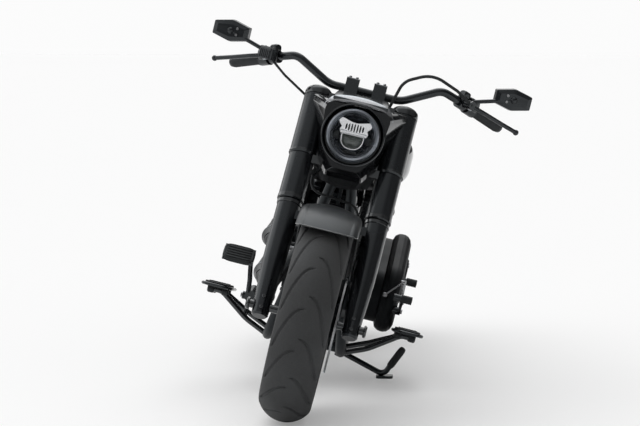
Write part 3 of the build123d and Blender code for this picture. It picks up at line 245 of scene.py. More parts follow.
def side_heads(points, width=11, height=6, out=1):
    """Heads on the left, looking outwards, and their mirror images on the right."""
    return [head for s in (1, -1)
            for head in hexes(np.asarray(points, float) * (s, 1, 1), (s * out, 0, 0), width, height)]


def bumped(material, height, distance, strength):
    """Lifts a material's surface by a height socket times a distance in metres."""
    tree = material.node_tree
    bump = node(tree, "Bump", {"Height": height, "Distance": distance, "Strength": strength})
    tree.links.new(bump.outputs["Normal"], shader(material)["Normal"])


def finish(name, dark, light, grain, rough, metal=0.0, coat=0.0, relief=0.0, smear=6.0):
    """A maker's finish: noise of `grain` per metre runs the colour from dark to light and lifts the
    surface by relief metres; a wider noise runs the roughness between two values, as smears do."""
    material = bpy.data.materials.new(name)
    material.use_nodes = True
    tree, into = material.node_tree, shader(material)
    place = node(tree, "TexCoord").outputs["Object"]
    fine, wide = (node(tree, "TexNoise", {"Vector": place, "Scale": scale, "Detail": detail}).outputs["Fac"]
                  for scale, detail in ((grain, 5), (smear, 6)))
    ramp = node(tree, "ValToRGB", {"Fac": fine})
    for end, position, colour in zip(ramp.color_ramp.elements, (0.3, 0.7), (dark, light)):
        end.position, end.color = position, (*colour, 1)
    ends = {"From Min": 0.3, "From Max": 0.7, "To Min": rough[0], "To Max": rough[1]}
    tree.links.new(ramp.outputs["Color"], into["Base Color"])
    tree.links.new(node(tree, "MapRange", {"Value": wide, **ends}).outputs["Result"], into["Roughness"])
    into["Specular Tint"].default_value, into["Coat Roughness"].default_value = (0.85, 0.945, 1, 1), 0.04
    into["Metallic"].default_value, into["Coat Weight"].default_value = metal, coat
    if relief:
        bumped(material, fine, relief, 0.6)
    return material


def dress(material, *names):
    """Gives CAD nodes their finish."""
    for name in names:
        data = frame["nodes"][name].data
        data.materials.clear()
        data.materials.append(material)


powder_coat = finish("powder_coat", (0.004, 0.004, 0.0045), (0.008, 0.008, 0.009), 900, (0.34, 0.48),
                     relief=0.00008)
dress(powder_coat, "main_frame", "swingarm", "swingarm_braces", "fender_struts")
zinc = finish("zinc_steel", (0.3, 0.3, 0.31), (0.44, 0.44, 0.45), 700, (0.22, 0.42), metal=1.0, relief=0.00004)
dress(zinc, "swingarm_pivot")
STEEL = zinc, "bare_steel"
PLATE_FACE_X = 118.3
plate_bolts = [(PLATE_FACE_X, y, z) for y, z in ((1186, 196), (1160, 300), (1192, 470), (1196, 530))]
piece("frame_bolts", side_heads(plate_bolts), *STEEL)

# -------- wheels and brakes
# Cast alloy wheels in gloss black, a disc of stainless steel drilled for cooling, a belt pulley behind,
# and a rubber valve with its cap at the rim. Brake faces carry rings from the pads.
WHEELBASE, VALVE_RADIUS = 1665, 208
gloss_black = finish("gloss_black", (0.003, 0.003, 0.0035), (0.006, 0.006, 0.007), 500, (0.05, 0.16), coat=1.0)
dress(gloss_black, "front_rim", "rear_rim", "front_axle")
GLOSS = gloss_black, "gloss_black"


def ringed(name, centre):
    """Turned steel: noise in the gloss, and rings of relief sin(4200 r) at r metres from the axle."""
    material = finish(name, (0.34, 0.34, 0.35), (0.52, 0.52, 0.53), 300, (0.22, 0.36), metal=1.0)
    tree = material.node_tree
    place = node(tree, "TexCoord").outputs["Object"]
    moved = node(tree, "Mapping", {"Vector": place, "Location": [-c for c in centre]}, vector_type="POINT")
    far = node(tree, "VectorMath", {0: moved.outputs["Vector"]}, operation="LENGTH")
    many = node(tree, "Math", {0: far.outputs["Value"], 1: 4200}, operation="MULTIPLY")
    wave = node(tree, "Math", {0: many.outputs["Value"]}, operation="SINE")
    bumped(material, wave.outputs["Value"], 0.00005, 0.5)
    return material


dress(ringed("front_disc_steel", FRONT_AXLE), "front_disc")
dress(ringed("rear_disc_steel", REAR_AXLE), "rear_disc")
cast_black = finish("cast_black", (0.006, 0.006, 0.0066), (0.013, 0.013, 0.0145), 650, (0.38, 0.52), relief=0.0001)
dress(cast_black, "rear_pulley", "front_caliper", "rear_caliper", "drive_pulley")
dress(zinc, "rear_axle")


def round_wheel(radius, count, turn, x, axle):
    """Points on a circle round an axle: (x, y + r cos t, z + r sin t)."""
    t = math.radians(turn) + np.arange(count) * 2 * np.pi / count
    return np.stack([np.full(count, x), axle[0] + radius * np.cos(t), axle[1] + radius * np.sin(t)], 1)


BOLT_RINGS = (("front_disc_bolts", "front_wheel", 50, 20, 89, 0),
              ("rear_disc_bolts", "rear_wheel", 48, 20, -138, WHEELBASE),
              ("pulley_bolts", "rear_wheel", 48, 5, 138, WHEELBASE))
for name, body, radius, turn, x, y in BOLT_RINGS:
    ring = round_wheel(radius, 5, turn, x, (y, TYRE_RADIUS))
    piece(name, hexes(ring, (math.copysign(1, x), 0, 0), 12, 5), *STEEL, body)
valve = [(0, 0), (5, 0), (5, 6), (3.2, 9), (3.2, 22), (4.2, 22.5), (4.2, 32), (3.4, 33), (0, 33)]
rubber = finish("moulded_rubber", (0.014, 0.014, 0.014), (0.026, 0.026, 0.026), 1200, (0.55, 0.75), relief=0.00012)
RUBBER = rubber, "rubber"
for end, x, y in (("front", 22, 0), ("rear", -34, WHEELBASE)):
    stem = turned(valve, (x, y, TYRE_RADIUS + VALVE_RADIUS), (math.copysign(0.55, x), 0, -0.83), 14)
    piece(end + "_valve", [stem], *RUBBER, end + "_wheel")

# -------- tyres
# Moulded radial tyres in charcoal rubber. Long curved grooves start on the crown and sweep out and
# back to each shoulder, one side a third of a pitch behind the other, and fine rings mark the sidewall.
tread_rubber = finish("tread_rubber", (0.036, 0.035, 0.035), (0.052, 0.051, 0.051), 420, (0.62, 0.8),
                      relief=0.00025, smear=9)
RIM_RADIUS = 229
GROOVE_DEEP, GROOVE_HALF, GROOVE_EDGE = 4.5, 3.6, 0.8
GROOVE_PITCH, GROOVE_SWEEP, GROOVE_BEND = 22.5, 19, 2.4
GROOVE_STARTS = (-3.2, -10.2)


def arc(a, b, c, steps):
    """Points on the circle through three points, from a past b to c, at equal angles."""
    a, b, c = (np.array(p, float) for p in (a, b, c))
    sides = np.array([b - a, c - a])
    centre = np.linalg.solve(2 * sides, [b @ b - a @ a, c @ c - a @ a])
    turns = np.unwrap([math.atan2(*(p - centre)[::-1]) for p in (a, b, c)])
    t = np.linspace(turns[0], turns[2], steps)
    return centre + np.linalg.norm(a - centre) * np.stack([np.cos(t), np.sin(t)], 1)


def tread(width, crown, rim_half, around):
    """Tyre as (x, radius) profile turned about the axle, pressed in along its normal where the distance
    to a groove line is under half its width: groove angle = start + pitch k - sweep (|x| / reach)^2.4."""
    half = width / 2
    shoulder, reach = 0.93 * half, 0.825 * half
    shoulder_r = TYRE_RADIUS - crown + math.sqrt(crown**2 - shoulder**2)
    side_r = RIM_RADIUS + 11
    bulge_r = side_r + 0.48 * (shoulder_r - side_r)
    bead = rim_half - 0.3
    t = np.linspace(-1, 1, 62) * math.asin(shoulder / crown)
    top = np.stack([crown * np.sin(t), TYRE_RADIUS - crown + crown * np.cos(t)], 1)
    wall = arc((shoulder, shoulder_r), (half, bulge_r), (bead, side_r), 13)[1:]
    right = np.vstack([wall, [(bead, RIM_RADIUS - 5)]])
    line = np.vstack([right[::-1] * (-1, 1), top, right])
    normal = np.gradient(line, axis=0)[:, ::-1] * (-1, 1)
    normal /= np.linalg.norm(normal, axis=1)[:, None]
    x, r = line.T
    u = np.abs(x) / reach
    angle = np.linspace(0, 360, around, endpoint=False)
    groove = np.where(x > 0, *GROOVE_STARTS) - GROOVE_SWEEP * u**GROOVE_BEND
    off = (angle[None] - groove[:, None] + GROOVE_PITCH / 2) % GROOVE_PITCH - GROOVE_PITCH / 2
    slope = TYRE_RADIUS * math.radians(GROOVE_SWEEP) * GROOVE_BEND * u ** (GROOVE_BEND - 1) / reach
    apart = np.abs(np.radians(off)) * TYRE_RADIUS / np.sqrt(1 + slope**2)[:, None]
    open_in, open_out = np.clip(u / 0.3, 0, 1) ** 0.7, np.clip((1.13 - u) / 0.14, 0, 1) ** 0.5
    band = GROOVE_HALF * open_in * open_out
    s = np.clip((band[:, None] + GROOVE_EDGE - apart) / (2 * GROOVE_EDGE), 0, 1)
    press = GROOVE_DEEP * s * s * (3 - 2 * s) * (band > 0.4)[:, None]
    rings = 0.5 * (np.abs(x) > shoulder) * (np.cos((r - side_r) * 1.1) > 0.6) * (r > side_r + 6)
    press -= rings[:, None]
    across_x = x[:, None] - normal[:, :1] * press
    out_r = r[:, None] - normal[:, 1:] * press
    a = np.radians(angle)[None]
    return np.stack([across_x, -out_r * np.cos(a), out_r * np.sin(a)], -1)


made = piece("front_tread", [tread(160, 90, 50, 896) + (0, 0, TYRE_RADIUS)], tread_rubber, "tyre", "front_wheel",
             crease=50)
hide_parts("front_tyre")
made = piece("rear_tread", [tread(240, 180, 106, 760) + (0, WHEELBASE, TYRE_RADIUS)], tread_rubber, "tyre",
             "rear_wheel", crease=50)
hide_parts("rear_tyre")

# -------- fork
# Painted tube covers over the stanchions, cast sliders below with their axle clamps, and two forged
# clamps. Gloss black rings trim the covers' joints, and pinch bolts hold the axle and the clamps.
RAKE, FORK_HALF = 30, 140


def pitched(degrees):
    """Unit directions (0, cos, sin) and (0, -sin, cos) of an angle: rearward and upward when it is 0."""
    c, s = math.cos(math.radians(degrees)), math.sin(math.radians(degrees))
    return np.array([0, c, s]), np.array([0, -s, c])


FORK_AXES = np.array([(1, 0, 0), *pitched(-RAKE)])
LEG_FRONT, LEG_UP = -FORK_AXES[1], FORK_AXES[2]


def fork(points):
    """Fork millimetres (left, behind the legs, up along them) to upright millimetres by the rake."""
    return np.asarray(points, float) @ FORK_AXES + (0, 0, TYRE_RADIUS)


def squircle(wide, high, power=5, steps=40):
    """Rounded rectangle: x = a sgn(cos) |cos|^(2/p), y = b sgn(sin) |sin|^(2/p)."""
    t = np.linspace(0, 2 * np.pi, steps, endpoint=False)
    c, s = np.cos(t), np.sin(t)
    return np.stack([wide / 2 * np.sign(c) * np.abs(c) ** (2 / power),
                     high / 2 * np.sign(s) * np.abs(s) ** (2 / power)], 1)


def slab(outline, low, edge, top, small, origin, axis, hint=(0, 0, 1)):
    """A closed slab: the outline from low to edge, then drawn in to a small scale at its top."""
    return stacked(outline, [(0, low), (1, low), (1, edge), (small, top), (0, top)], origin, axis, hint)


def leg_ring(profile):
    """A (radius, height) profile turned about each leg's axis."""
    return [turned(profile, fork((s * FORK_HALF, 0, 0)), LEG_UP, 56) for s in (1, -1)]


def band(radius, low, high, thick):
    """A closed hoop: outer radius, inner radius, and rounded edges between two heights."""
    return [(radius, low), (radius + thick * 0.6, low), (radius + thick, low + thick * 0.5),
            (radius + thick, high - thick * 0.5), (radius + thick * 0.6, high), (radius, high), (radius, low)]


satin_paint = finish("satin_paint", (0.003, 0.0032, 0.004), (0.0065, 0.007, 0.0085), 800, (0.2, 0.32),
                     coat=0.35, relief=0.00005)
dress(satin_paint, "fork_covers", "fork_sliders", "handlebar", "risers", "switch_housings", "control_levers",
      "fender_brackets")
dress(gloss_black, "triple_clamps")
SATIN = satin_paint, "satin_black"
COVER_RINGS = ((41, 364, 376, 1.2), (44, 527, 533, 0.8), (37, 346, 358, 2.6))
rings = [ring for sizes in COVER_RINGS for ring in leg_ring(band(*sizes))]
piece("cover_rings", rings, *GLOSS, "fork")
cap = [(44.1, 734), (44.6, 736), (44.6, 750), (42.5, 757), (37, 763), (27, 767.5), (12, 770), (0, 770.5), (0, 745),
       (44.1, 734)]
piece("fork_caps", leg_ring(cap), *GLOSS, "fork", crease=50)
pinch = [fork((s * FORK_HALF, -26.5, h)) for s in (1, -1) for h in (-14, 22)]
piece("pinch_bolts", hexes(pinch, LEG_FRONT, 12, 7), *GLOSS, "fork")
cap = [(0, 0), (17, 0), (19, 2), (19, 7), (15, 10), (9, 10), (8, 6), (0, 6)]
piece("axle_caps", [turned(cap, (s * 178, 0, TYRE_RADIUS), (s, 0, 0), 40) for s in (1, -1)], *GLOSS, "fork")
piece("clamp_bolts", hexes([fork((x, -31, 509)) for x in (-72, 72)], LEG_FRONT), *STEEL, "fork")
piece("caliper_bolts", hexes([(117.5, 104, 470), (117.5, 132, 425)], (1, 0, 0), 13, 5), *STEEL, "fork")
pistons = [slab(squircle(30, 30, 2.4, 24), 0, 5, 7, 0.8, place, (1, 0, 0))
           for place in ((112, 96, 418), (112, 126, 392))]
piece("caliper_pistons", pistons, cast_black, "satin_black", "fork")

# -------- front mudguard
# Pressed steel, short and wide, painted a satin dark grey. Its edge is rolled round a wire, and two
# bolts a side hold it to the pads on the sliders.
guard_paint = finish("guard_paint", (0.012, 0.013, 0.014), (0.019, 0.0205, 0.022), 900, (0.3, 0.42), coat=0.1,
                     relief=0.00004)
dress(guard_paint, "front_fender", "rear_fender")
GUARD_TOP, GUARD_HALF, GUARD_CUT, SHEET_HALF = 350.0, 96.0, 123, 1.2


def swept(path, radius, steps=14, hint=(0, 0, 1)):
    """Tube: path + r (cos t side + sin t top), side = tangent x hint; its ends close to a point."""
    tangent = np.gradient(path, axis=0)
    path, tangent = (np.vstack([rows[:1], rows, rows[-1:]]) for rows in (path, tangent))
    r = np.broadcast_to(np.asarray(radius, float), (len(path) - 2,))
    r = np.r_[0, r, 0][:, None, None]
    side = np.cross(tangent, hint)
    side /= np.linalg.norm(side, axis=1)[:, None]
    top = np.cross(side, tangent)
    top /= np.linalg.norm(top, axis=1)[:, None]
    t = np.linspace(0, 2 * np.pi, steps, endpoint=False)[:, None]
    return path[:, None] + r * (np.cos(t) * side[:, None] + np.sin(t) * top[:, None])


def guard_edge(top, half, cut, tilt=7, drop=12, bend=26, skirt=62):
    """Line of the cut edge: section points (x, r) put where r sin(a - tilt) is level with the front tip."""
    t = np.linspace(0, 1, 9)[:, None]
    eaves = top - drop
    crown = arc((-half + bend, eaves), (0, top), (half - bend, eaves), 25)
    corner = arc((half - bend, eaves), (half - 0.3 * bend, eaves - 0.3 * bend), (half, eaves - bend), 9)[1:]
    side = np.array([half, eaves - bend]) * (1 - t) + np.array([half, top - skirt]) * t
    right = np.vstack([corner, side[1:]])
    x, r = np.vstack([right[::-1] * (-1, 1), crown, right]).T
    tip, lean = math.radians(180 - cut), math.radians(tilt)
    level = -top * math.cos(tip) * math.sin(lean) + top * math.sin(tip) * math.cos(lean)
    a = np.arcsin(np.clip(level / r, -1, 1)) + lean
    return np.stack([x, -r * np.cos(a), r * np.sin(a)], 1)


edge = guard_edge(GUARD_TOP - SHEET_HALF, GUARD_HALF - SHEET_HALF, GUARD_CUT) + (0, 0, TYRE_RADIUS)
piece("front_guard_bead", [swept(edge, 2.0, 10, (0, 0.3, 1))], gloss_black, "dark_paint", "fork")
piece("guard_bolts", side_heads([fork((96.5, y, 312)) for y in (-14, 14)], 11, 4, -1), *STEEL, "fork")

# -------- headlight
# A shield-shaped nacelle of painted alloy holds a round lamp: a satin alloy annulus and bowl, an upper
# reflector with wings and dark slots, a D-shaped projector under it, and a brow strip over the face in
# light grey metal, whose colour is a painted highlight for the overhead light on the black nacelle's top.
dress(gloss_black, "headlight_nacelle")
mirror_chrome = finish("mirror_chrome", (0.84, 0.85, 0.87), (0.92, 0.93, 0.95), 90, (0.10, 0.18), metal=1.0)
CHROME = mirror_chrome, "disc_steel"
LAMP = np.array([0, 196, 884.0])
AHEAD = (0, -1, 0)


def bent(points, steps=60):
    """Smooth line through points: each coordinate is a cubic Hermite curve over the chord lengths."""
    p = np.asarray(points, float)
    chord = np.r_[0, np.cumsum(np.linalg.norm(np.diff(p, axis=0), axis=1))]
    slope = np.gradient(p, chord, axis=0)
    s = np.linspace(0, chord[-1], steps)
    k = np.clip(np.searchsorted(chord, s, side="right") - 1, 0, len(p) - 2)
    width = (chord[k + 1] - chord[k])[:, None]
    t = (s - chord[k])[:, None] / width
    return ((2 * t**3 - 3 * t**2 + 1) * p[k] + (t**3 - 2 * t**2 + t) * width * slope[k]
            + (3 * t**2 - 2 * t**3) * p[k + 1] + (t**3 - t**2) * width * slope[k + 1])


def lamp(points):
    """Lamp millimetres (left, up, depth behind the face) to upright millimetres."""
    p = np.asarray(points, float)
    return LAMP + np.stack([p[..., 0], p[..., 2], p[..., 1]], -1)


satin_alloy = finish("satin_alloy", (0.20, 0.215, 0.24), (0.28, 0.30, 0.335), 200, (0.2, 0.32), metal=0.7)
dress(satin_alloy, "headlight_shell")
annulus = [(70.5, -8), (68.5, -12), (66, -16), (64, -21), (64, -25), (67, -22), (70.5, -14), (70.5, -8)]
bowl = [(63, -23), (59, -42), (48, -56), (24, -63), (0, -65), (0, -68), (30, -67), (51, -60), (62, -44),
        (66, -26), (63, -23)]
for name, profile in (("lamp_annulus", annulus), ("lamp_bowl", bowl)):
    piece(name, [turned(profile, LAMP, AHEAD, 72)], satin_alloy, "disc_steel", "fork")
u, v = np.meshgrid(np.linspace(-1, 1, 121), np.linspace(0, 1, 25))
wing = 44 + 12 * v**1.4 - 6 * np.exp(-((v - 0.4) / 0.14) ** 2) - 9 * np.clip((v - 0.7) / 0.3, 0, 1) ** 2
height = 1 + 46 * v - 9 * v * (1 - u**2) ** 2
depth = 27 - 7 * v + 5 * u**2 * (1 - v)
piece("lamp_reflector", [lamp(np.stack([u * wing, height, depth], -1))], *CHROME, "fork", wrap=False, crease=25,
      solid=False)
PROJECTOR_FLOOR, BEZEL_DEPTH = -1.0, 24.0
corner = [(-35, -2), (-35, -14), (-32, -28), (-22, -40), (0, -46), (22, -40), (32, -28), (35, -14), (35, -2)]
chord = np.stack([np.linspace(34, -34, 30), np.full(30, PROJECTOR_FLOOR)], 1)
outline = np.vstack([bent(corner, 70), chord])
bezel = lamp(np.column_stack([outline, np.full(len(outline), BEZEL_DEPTH)]))
piece("projector_bezel", [swept(bezel, 2.4, 10, AHEAD)], *CHROME, "fork")
projector_glass = finish("projector_glass", (0.05, 0.058, 0.052), (0.085, 0.095, 0.082), 25, (0.04, 0.1), coat=1.0)
t, k = np.meshgrid(np.linspace(0, 1, 72, endpoint=False), np.linspace(0, 1, 14))
around = np.stack([np.interp(t[0] * 99, np.arange(100), c) for c in outline.T], 1)
middle = np.array([0, -20])
flat = middle + (around - middle)[None] * k[..., None]
bulge = 32 - 16 * np.sqrt(np.clip(1 - k**2, 0, 1)) - 3 * (flat[..., 1] > -14) * (1 - k)
piece("projector_lens", [lamp(np.dstack([flat, bulge]))], projector_glass, "clear_glass", "fork", crease=60,
      solid=False)
piece("lamp_shelf", [slab(squircle(88, 9, 6), 0, 10, 12, 0.96, lamp((0, 3, 36)), AHEAD)], *CHROME, "fork")
slots = [slab(squircle(4.6, 25 - 0.012 * d * d, 3), 0, 9, 10, 0.7, lamp((d, 21, 27)), AHEAD)
         for d in range(-27, 28, 9)]
piece("lamp_slots", slots, rubber, "satin_black", "fork")
shades = [slab(squircle(20, 26, 5), 0, 16, 18, 0.9, lamp((s * 52, -12, 44)), AHEAD) for s in (1, -1)]
shades.append(slab(squircle(44, 9, 5), 0, 14, 16, 0.92, lamp((0, -56, 38)), AHEAD))
piece("lamp_shades", shades, rubber, "satin_black", "fork")
lens_glass = finish("lens_glass", (0.02, 0.022, 0.026), (0.03, 0.033, 0.038), 30, (0.02, 0.05), coat=0.3)
shader(lens_glass)["Alpha"].default_value = 0.06
dress(lens_glass, "headlight_lens")
TILT, BEAD, BEAD_RADIUS = 10, 3.0, 97
bead = [(BEAD_RADIUS + BEAD * math.cos(a), BEAD * math.sin(a)) for a in np.linspace(0, 2 * np.pi, 13)]
piece("nacelle_bead", [turned(bead, LAMP, -pitched(-TILT)[0], 96)], *GLOSS, "fork")
BROW_STEPS = 72
half = [(103, 8, 48), (101, 5, 70), (86, 4, 89), (45, 3, 98)]
brow = bent([(-x, y, z) for x, y, z in half] + [(0, 2, 100)] + half[::-1], BROW_STEPS)
brow[:, 1] += 6 + brow[:, 2] * math.tan(math.radians(TILT))
section = [(-1, -9), (-7, -5), (-9, 0), (-7, 4), (9, 17), (14, 18), (18, 14), (17, 4), (8, -6)]
outward = np.gradient(brow, axis=0)[:, [2, 0]] * (-1, 1)
outward /= np.linalg.norm(outward, axis=1)[:, None]
size = np.sin(np.linspace(0.1, np.pi - 0.1, BROW_STEPS)) ** 0.5
size[[0, -1]] = 0
outward = np.column_stack([outward[:, 0], 0 * size, outward[:, 1]])
strip = [LAMP + brow + size[:, None] * (aft * np.array([0, 1, 0]) + out * outward) for aft, out in section]
# Painted highlight: the brow strip is a light grey metal, so its colour stands in for the bright band of overhead
# light along the black nacelle's top; its reflections are still rendered.
brow_painted_highlight = finish("brow_painted_highlight", (0.34, 0.345, 0.36), (0.46, 0.465, 0.48), 300, (0.16, 0.28), metal=1.0)
piece("nacelle_brow", [np.stack(strip, 1)], brow_painted_highlight, "satin_black", "fork", crease=28)
lid = slab(squircle(176, 12, 6), 0, 60, 138, 0.94, (0, 216, 984), (0, 138, 14))
piece("nacelle_top", [lid], *SATIN, "fork")

# -------- handlebar and controls
# A bent steel bar in two risers, ribbed rubber grips, cast switch pods, forged levers on pivot bolts,
# a brake reservoir with a screwed lid, and six-sided mirrors on tapered stems.
dress(rubber, "grips", "clutch_cable", "brake_hose", "drive_belt")
dress(satin_paint, "brake_reservoir", "mirrors")
BAR_TIP, BAR_KNEE = np.array([444, 568, 1000.0]), np.array([284, 424, 1062.0])
INWARD = (BAR_KNEE - BAR_TIP) / np.linalg.norm(BAR_KNEE - BAR_TIP)
FORWARD = np.array([0.669, -0.743, 0])
ABOVE = -np.cross(INWARD, FORWARD)


def control(side, inward, ahead=0, above=0):
    """Point by a grip: bar tip + inward + ahead + above, mirrored for the right side."""
    p = BAR_TIP + INWARD * inward + FORWARD * ahead + ABOVE * above
    return p * (side, 1, 1)


def by_grips(profile, steps, inward=0, ahead=0, axis=INWARD):
    """A turned part by each grip, mirrored for the right side."""
    return [turned(profile, control(s, inward, ahead), axis * (s, 1, 1), steps) for s in (1, -1)]


wave = ([(17.6, 4)] + [(17.6 + 1.3 * (k % 2), 6 + 3.6 * k) for k in range(33)]
        + [(17.6, 124), (16.5, 124), (16.5, 4), (17.6, 4)])
piece("grip_ribs", by_grips(wave, 40), *RUBBER, "fork", crease=60)
piece("bar_ends", by_grips([(0, -9), (13, -9), (16, -6), (17, 2), (0, 2)], 32), *SATIN, "fork")
PODS = ((squircle(52, 44, 3.4), [(0, -22), (0.86, -22), (1, -17), (1, 12), (0.9, 20), (0, 21)], (158, 4, -10)),
        (squircle(30, 26, 3), [(0, -15), (0.84, -15), (1, -10), (1, 8), (0.8, 13), (0, 13)], (200, 8, -26)))
pods = [stacked(outline, levels, control(s, *place), INWARD * (s, 1, 1), ABOVE * (s, 1, 1))
        for s in (1, -1) for outline, levels, place in PODS]
piece("switch_pods", pods, *SATIN, "fork", crease=45)
BUTTONS = ((150, 2, 14, 9), (164, 2, 10, 9), (156, -14, 22, 8))
buttons = [stacked(squircle(w, h, 4, 24), [(0, 0), (1, 0), (1, 3), (0.85, 4.2), (0, 4.4)], control(s, d, -18, a),
                   -FORWARD * (s, 1, 1), ABOVE * (s, 1, 1)) for s in (1, -1) for d, a, w, h in BUTTONS]
piece("switch_buttons", buttons, *RUBBER, "fork")
pivot = [(0, -15), (6, -15), (7, -13.5), (7, 13.5), (6, 15), (0, 15)]
piece("lever_pivots", by_grips(pivot, 18, 189, 46, ABOVE), *STEEL, "fork")
LID_LONG, LID_FRONT = np.array([-0.743, 0.669, 0]), np.array([-0.669, -0.743, 0])
lid_at = control(-1, 198, 43, 12) + (0, 0, 33.2)
lid = slab(squircle(58, 38, 6), 0, 3, 4.5, 0.95, lid_at, (0, 0, 1), LID_FRONT)
piece("reservoir_lid", [lid], gloss_black, "satin_black", "fork")
piece("lid_screws", hexes([lid_at + LID_LONG * d + (0, 0, 4.4) for d in (-20, 20)], (0, 0, 1), 7, 1.6), *STEEL,
      "fork")
rib_row = lid_at + LID_FRONT * 18 + (0, 0, -18)
ribs = [slab(squircle(2.6, 26, 6, 16), -1, 1.6, 2.2, 0.6, rib_row + LID_LONG * d, LID_FRONT)
        for d in range(-20, 21, 8)]
piece("reservoir_ribs", ribs, *SATIN, "fork")
riser_bolts = [fork((s * 45 + dx, dy, 826)) for s in (1, -1) for dx in (-11, 11) for dy in (-17, 21)]
piece("riser_bolts", hexes(riser_bolts, LEG_UP, 10, 5), *STEEL, "fork")
MIRROR = np.array([466, 462, 1101.0])
MIRROR_SIDE, MIRROR_OUT = np.array([0.985, 0.17, 0]), np.array([0.17, -0.985, 0])
six = np.array([(-54, -16), (-4, -30), (4, -30), (54, -16), (54, 16), (4, 30), (-4, 30), (-54, 16)], float)
t = np.linspace(0, 8, 64, endpoint=False)
six_line = np.stack([np.interp(t, np.arange(9), np.r_[six[:, k], six[0, k]]) for k in (0, 1)], 1)
silvered = finish("silvered_glass", (0.72, 0.73, 0.74), (0.76, 0.77, 0.78), 8, (0.01, 0.03), metal=1.0)
glasses, screws, creases = [], [], []
for s in (1, -1):
    at, out, side = MIRROR * (s, 1, 1), MIRROR_OUT * (s, 1, 1), MIRROR_SIDE * (s, 1, 1)
    glasses.append(stacked(six_line, [(0, 12.4), (0.985, 12.4), (1, 13), (1, 14.4), (0, 14.4)], at, -out))
    screws += hexes([at + side * -22 + out * 15.2 + (0, 0, dz) for dz in (-10, 10)], out, 9, 3)
    for dz in (-9, -3, 3, 9):
        start, run = at + side * 2 + out * 14.2 + (0, 0, dz), side * 44 - (0, 0, 0.35 * dz)
        creases.append(swept(start + run * np.linspace(0, 1, 12)[:, None], 1.1, 6))
piece("mirror_glasses", glasses, silvered, "disc_steel", "fork")
piece("mirror_screws", screws, *STEEL, "fork")
piece("mirror_creases", creases, *SATIN, "fork")

# -------- engine
# A wide air-cooled vee twin in wrinkle black. Its rocker covers and pushrod tubes are gloss black, a
# raised ring rims the timing cover, and socket bolts hold the covers.
wrinkle_black = finish("wrinkle_black", (0.006, 0.006, 0.0065), (0.014, 0.014, 0.015), 1500, (0.4, 0.58),
                       relief=0.0002)
dress(wrinkle_black, "engine_cases", "cylinders", "air_cleaner")
dress(gloss_black, "rocker_covers", "pushrod_tubes")
CRANK_AXIS, CYLINDER_LEAN, HEAD_TOP = (760, 320), 22.5, 368.2


def face_ring(inner, outer, side, top):
    """Closed profile of a raised ring with 2 mm bevels: radii, height at its sides and on top."""
    return [(inner, 0), (inner, side), (inner + 2, top), (outer - 2, top), (outer, side), (outer, 0), (inner, 0)]


screws, rings = [], []
for place, radius, sizes in (((-122, 752, 350), 65, (44, 56, 2.5, 4)), ((-114, 1010, 352), 60, (26, 50, 3, 4))):
    screws += hexes(round_wheel(radius, 6, 15, place[0], place[1:]), (-1, 0, 0), 11, 5)
    rings.append(turned(face_ring(*sizes), place, (-1, 0, 0), 56))
for lean in (CYLINDER_LEAN, -CYLINDER_LEAN):
    side, along = pitched(lean)
    heads = [(x, *CRANK_AXIS) + along * HEAD_TOP + side * w for x in (-59, 59) for w in (-64, 64)]
    screws += hexes(heads, along, 10, 6)
piece("engine_screws", screws, *STEEL)
piece("timing_rings", rings, *GLOSS)

# -------- air cleaner and primary cover
# The round air cleaner has radial ribs in its dish, a gloss rim and one centre bolt. The long primary
# cover is painted a dull black, with five screws in its clutch cover and two in its hatch.
CLEANER_FACE = np.array([-196, 760, 612.0])
ribs = []
for turn in range(0, 360, 12):
    out, _ = pitched(turn)
    place = CLEANER_FACE + (11.5, 0, 0) + out * 59
    ribs.append(slab(squircle(2.4, 30, 6, 12), -3, 2.6, 3.4, 0.8, place, (-1, 0, 0), out))
piece("cleaner_ribs", ribs, wrinkle_black, "satin_black")
rim = [(88, 0), (91.5, 1), (92.5, 4), (92, 10), (90.5, 12), (88, 12), (88, 0)]
hub = [(17, 0), (17, 2), (19, 3), (27, 3), (29, 1.5), (29, 0), (17, 0)]
rings = [turned(rim, CLEANER_FACE + (44, 0, 0), (-1, 0, 0), 72), turned(hub, CLEANER_FACE, (-1, 0, 0), 48)]
piece("cleaner_rims", rings, *GLOSS)
piece("cleaner_bolt", hexes(CLEANER_FACE, (-1, 0, 0), 17, 7), *STEEL)
cover_black = finish("cover_black", (0.002, 0.0021, 0.0024), (0.0045, 0.0047, 0.0052), 900, (0.42, 0.55))
shader(cover_black)["Specular IOR Level"].default_value = 0.2
dress(cover_black, "primary_cover")
CLUTCH_AXIS = (1010, 388)
cover_screws = np.vstack([round_wheel(60, 5, 54, 278.8, CLUTCH_AXIS), [(274.8, 718, 360), (274.8, 790, 360)]])
piece("primary_screws", hexes(cover_screws, (1, 0, 0), 10, 4), *STEEL)
piece("derby_ring", [turned(face_ring(38, 50, 1.5, 2.6), (279, *CLUTCH_AXIS), (1, 0, 0), 56)], *GLOSS)

# -------- exhaust and oil
# Pipes and slash-cut mufflers in ceramic black, with worm-drive clamps and a baffle in each mouth. The
# oil cooler is a stack of plates with thin slats between, and the oil tank has a screw cap.
ceramic_black = finish("ceramic_black", (0.009, 0.009, 0.009), (0.019, 0.018, 0.018), 260, (0.34, 0.52),
                       relief=0.00006)
dress(ceramic_black, "exhaust_pipes", "mufflers")
MUFFLER_X = -214


def strap(inner, outer, half):
    """Closed profile of a clamp's band, its outer edges bevelled by 0.4 mm over 1 mm."""
    return [(inner, -half), (outer - 0.4, -half), (outer, 1 - half), (outer, half - 1), (outer - 0.4, half),
            (inner, half), (inner, -half)]


